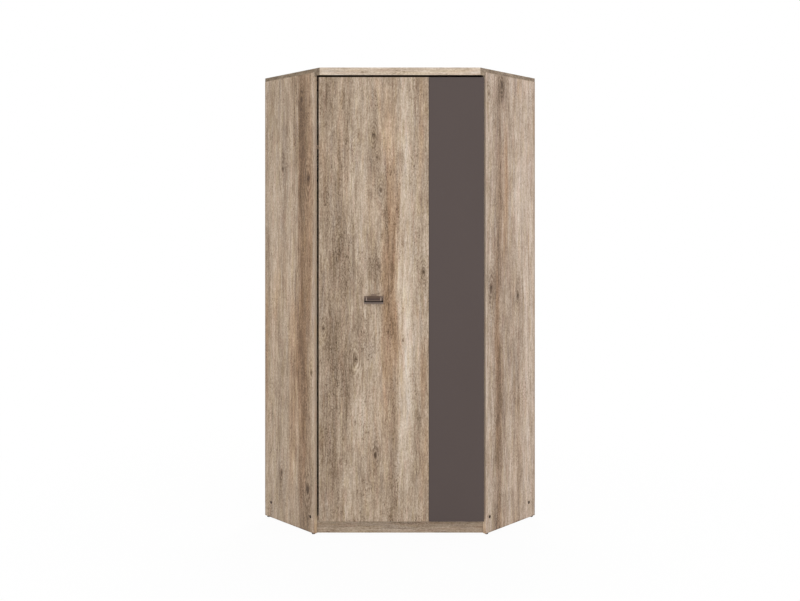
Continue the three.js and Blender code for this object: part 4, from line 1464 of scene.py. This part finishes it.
for i, height in enumerate(hinge_heights, 1):
    mesh = bmesh.new()
    plate = prism(rounded(PLATE_HALF, PLATE_HALF_HEIGHT, 0.004), 0, PLATE_THICK, 0.0005)
    add(mesh, plate, on_side_panel(PLATE_MIDDLE, height))
    boss = prism(rounded(BOSS_HALF, BOSS_HALF_HEIGHT, 0.0015), 0, BOSS_THICK, 0.0007)
    add(mesh, boss, on_side_panel(BOSS_MIDDLE, height))
    for up in (-PLATE_SCREW_RISE, PLATE_SCREW_RISE):
        head = on_side_panel(PLATE_MIDDLE, height + up, PLATE_THICK - 0.0001)
        cross_head(mesh, head, PLATE_SCREW_RADIUS, HEAD_HEIGHT)
    smooth(settle(f"mounting_plate_{i}", mesh, [nickel_finish], "carcass",
                  f"hinge_plate_{i}"))

    mesh = bmesh.new()
    add(mesh, prism(arm_outline, height - ARM_HALF, height + ARM_HALF, 0.0007, 3))
    turned(mesh, eye_profile, 28, Matrix.Translation((pin_x, pin_y, height)))
    bmesh.ops.remove_doubles(mesh, verts=mesh.verts, dist=0.00001)
    for behind, radius in ARM_SCREWS:
        head = on_side_panel(behind, height, arm_face)
        cross_head(mesh, head, radius, ARM_SCREW_HEIGHT)
    pad = prism(rounded(PAD_HALF, PAD_HALF_HEIGHT, 0.001), 0, PAD_THICK, 0.0002)
    add(mesh, pad, on_side_panel(PAD_MIDDLE, height, arm_face))
    smooth(settle(f"arm_{i}", mesh, [nickel_finish], "carcass",
                  f"hinge_arm_{i}"))

    mesh = bmesh.new()
    place = Matrix.Translation((cup_x, taupe_high.y, height)) @ BACKWARD
    turned(mesh, cup_profile, 64, place)
    bmesh.ops.remove_doubles(mesh, verts=mesh.verts, dist=0.00001)
    for turn in (0, math.pi):
        spot = place @ Matrix.Rotation(turn, 4, "Z")
        add(mesh, prism(ear, SEAT, flange_top - 0.0001, 0.0003), spot)
        head = spot @ Matrix.Translation((0, EAR_SCREW, flange_top - 0.0002))
        cross_head(mesh, head, EAR_SCREW_RADIUS, HEAD_HEIGHT)
    smooth(settle(f"cup_{i}", mesh, [nickel_finish], "door",
                  f"hinge_cup_{i}"))

    mesh = bmesh.new()
    turned(mesh, pin_profile, 24, Matrix.Translation((pin_x, pin_y, height)))
    smooth(settle(f"pin_{i}", mesh, [nickel_finish], "door",
                  f"hinge_pin_{i}"))

# Door buffers
# Two small domes of clear rubber, stuck to the front edges of the bottom panel and the shelf
# on the left. The back of the door meets them when it closes.
def clear_rubber(place):
    haze = place.noise((900, 900, 900), detail=3)
    dust = place.noise((300, 300, 300), (3, 3, 1), 3).rise(0.55, 0.75)
    return {
        "Base Color": (dust * 0.5).mix(srgb(222, 222, 216), srgb(188, 184, 174)),
        "Roughness": 0.26 + haze * 0.2 + dust * 0.15,
        "Transmission Weight": 0.35,
        "IOR": 1.45,
        "Normal": place.bump(haze, 0.00008, 0.4),
    }


rubber_finish = finish("clear rubber", clear_rubber)
for word in ("bottom", "shelf"):
    low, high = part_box(f"door_buffer_{word}")
    middle = middle_of(f"door_buffer_{word}")
    radius, length = (high.z - low.z) / 2, high.y - low.y
    mesh = bmesh.new()
    turned(mesh, [
        (0, 0), (radius * 0.96, 0), (radius, 0.0003), (radius, length * 0.55),
        (radius * 0.9, length * 0.78), (radius * 0.66, length * 0.93), (radius * 0.35, length),
        (0, length),
    ], 32, Matrix.Translation((middle.x, high.y, middle.z)) @ Matrix.Rotation(math.pi / 2, 4, "X"))
    smooth(settle(f"buffer_{word}", mesh, [rubber_finish], "carcass",
                  f"door_buffer_{word}"))

# Floor, light and camera
# A pale studio floor and a white surround, soft lamps in front on both sides, the right one
# stronger, and a level camera that looks straight at the door.
FLOOR_HALF = 14
SHADOW = 0.045  # how much of the lit floor the camera sees near the object
EYE_DISTANCE = 4.1463
EYE_HEIGHT = 1.304


def lamp(name, place, target, width, power):
    data = bpy.data.lights.new(name, "AREA")
    data.shape = "DISK"
    data.size = width
    data.energy = power
    light = put(name, data)
    light.location = place
    light.rotation_euler = (Vector(target) - Vector(place)).to_track_quat("-Z", "Y").to_euler()


lamp("key lamp", (4.65, -2.52, 2.75), (0, 0, 0.9), 2.6, 47)
lamp("fill lamp", (-4.65, -2.52, 2.5), (0, 0, 0.9), 2.8, 35)
lamp("front lamp", (0.5, -4.9, 2.1), (0, 0, 1.0), 2.2, 24)
lamp("back lamp", (0.5, 3.2, 3.4), (0, 0, 1.2), 2.6, 80)


def seen_directly(tree):
    """1 for what the camera, mirrors and clear things see, 0 for what lights the object."""
    path = Wire(tree.nodes.new("ShaderNodeLightPath").outputs["Is Camera Ray"])
    seen = path.math("MAXIMUM", path.other("Is Glossy Ray"))
    return seen.math("MAXIMUM", path.other("Is Transmission Ray"))


world = bpy.data.worlds.new("studio")
bpy.context.scene.world = world
world.use_nodes = True
surround = seen_directly(world.node_tree).mix((0.8, 0.8, 0.8, 1), (1, 1, 1, 1))
background = world.node_tree.nodes["Background"]
world.node_tree.links.new(surround.output, background.inputs["Color"])


def pale_floor(place):
    speckle = place.noise((160, 160, 160), detail=3)
    cloud = place.noise((1.5, 1.5, 1.5), (2, 1, 0), 2)
    return {
        "Base Color": (speckle * 0.5 + cloud * 0.5).mix(srgb(226, 226, 225), srgb(234, 234, 233)),
        "Roughness": 0.75 + speckle * 0.1,
        "Specular IOR Level": 0.1,
        "Normal": place.bump(speckle, 0.0002, 0.3),
    }


mesh = bmesh.new()
bmesh.ops.create_grid(mesh, x_segments=24, y_segments=24, size=FLOOR_HALF)
data = bpy.data.meshes.new("studio_floor")
mesh.to_mesh(data)
mesh.free()
studio_floor = put("studio_floor", data)
floor_finish = finish("pale floor", pale_floor)
tree = floor_finish.node_tree
lit = Wire(tree.nodes["Principled BSDF"].outputs["BSDF"])
white = lit.node("Emission", {}, {"Color": (1, 1, 1, 1), "Strength": 1.0})
distance = Wire(tree.nodes.new("ShaderNodeTexCoord").outputs["Object"])
distance = distance.node("VectorMath", {"operation": "LENGTH"}, {0: distance}, "Value")
seen = seen_directly(tree) * (distance.rise(0.8, 2.4) * SHADOW + (1 - SHADOW))
seen = lit.node("MixShader", {}, {0: seen, 1: lit, 2: white})
tree.links.new(seen.output, tree.nodes["Material Output"].inputs["Surface"])
data.materials.append(floor_finish)

camera = put("camera", bpy.data.cameras.new("camera"))
camera.location = (0, -EYE_DISTANCE, EYE_HEIGHT)
camera.rotation_euler = (math.pi / 2, 0, 0)
camera.data.sensor_width = 36
camera.data.lens = 39.555
camera.data.shift_y = -0.0899
camera.data.clip_end = 60
bpy.context.scene.camera = camera
bpy.context.scene.view_settings.view_transform = "Standard"
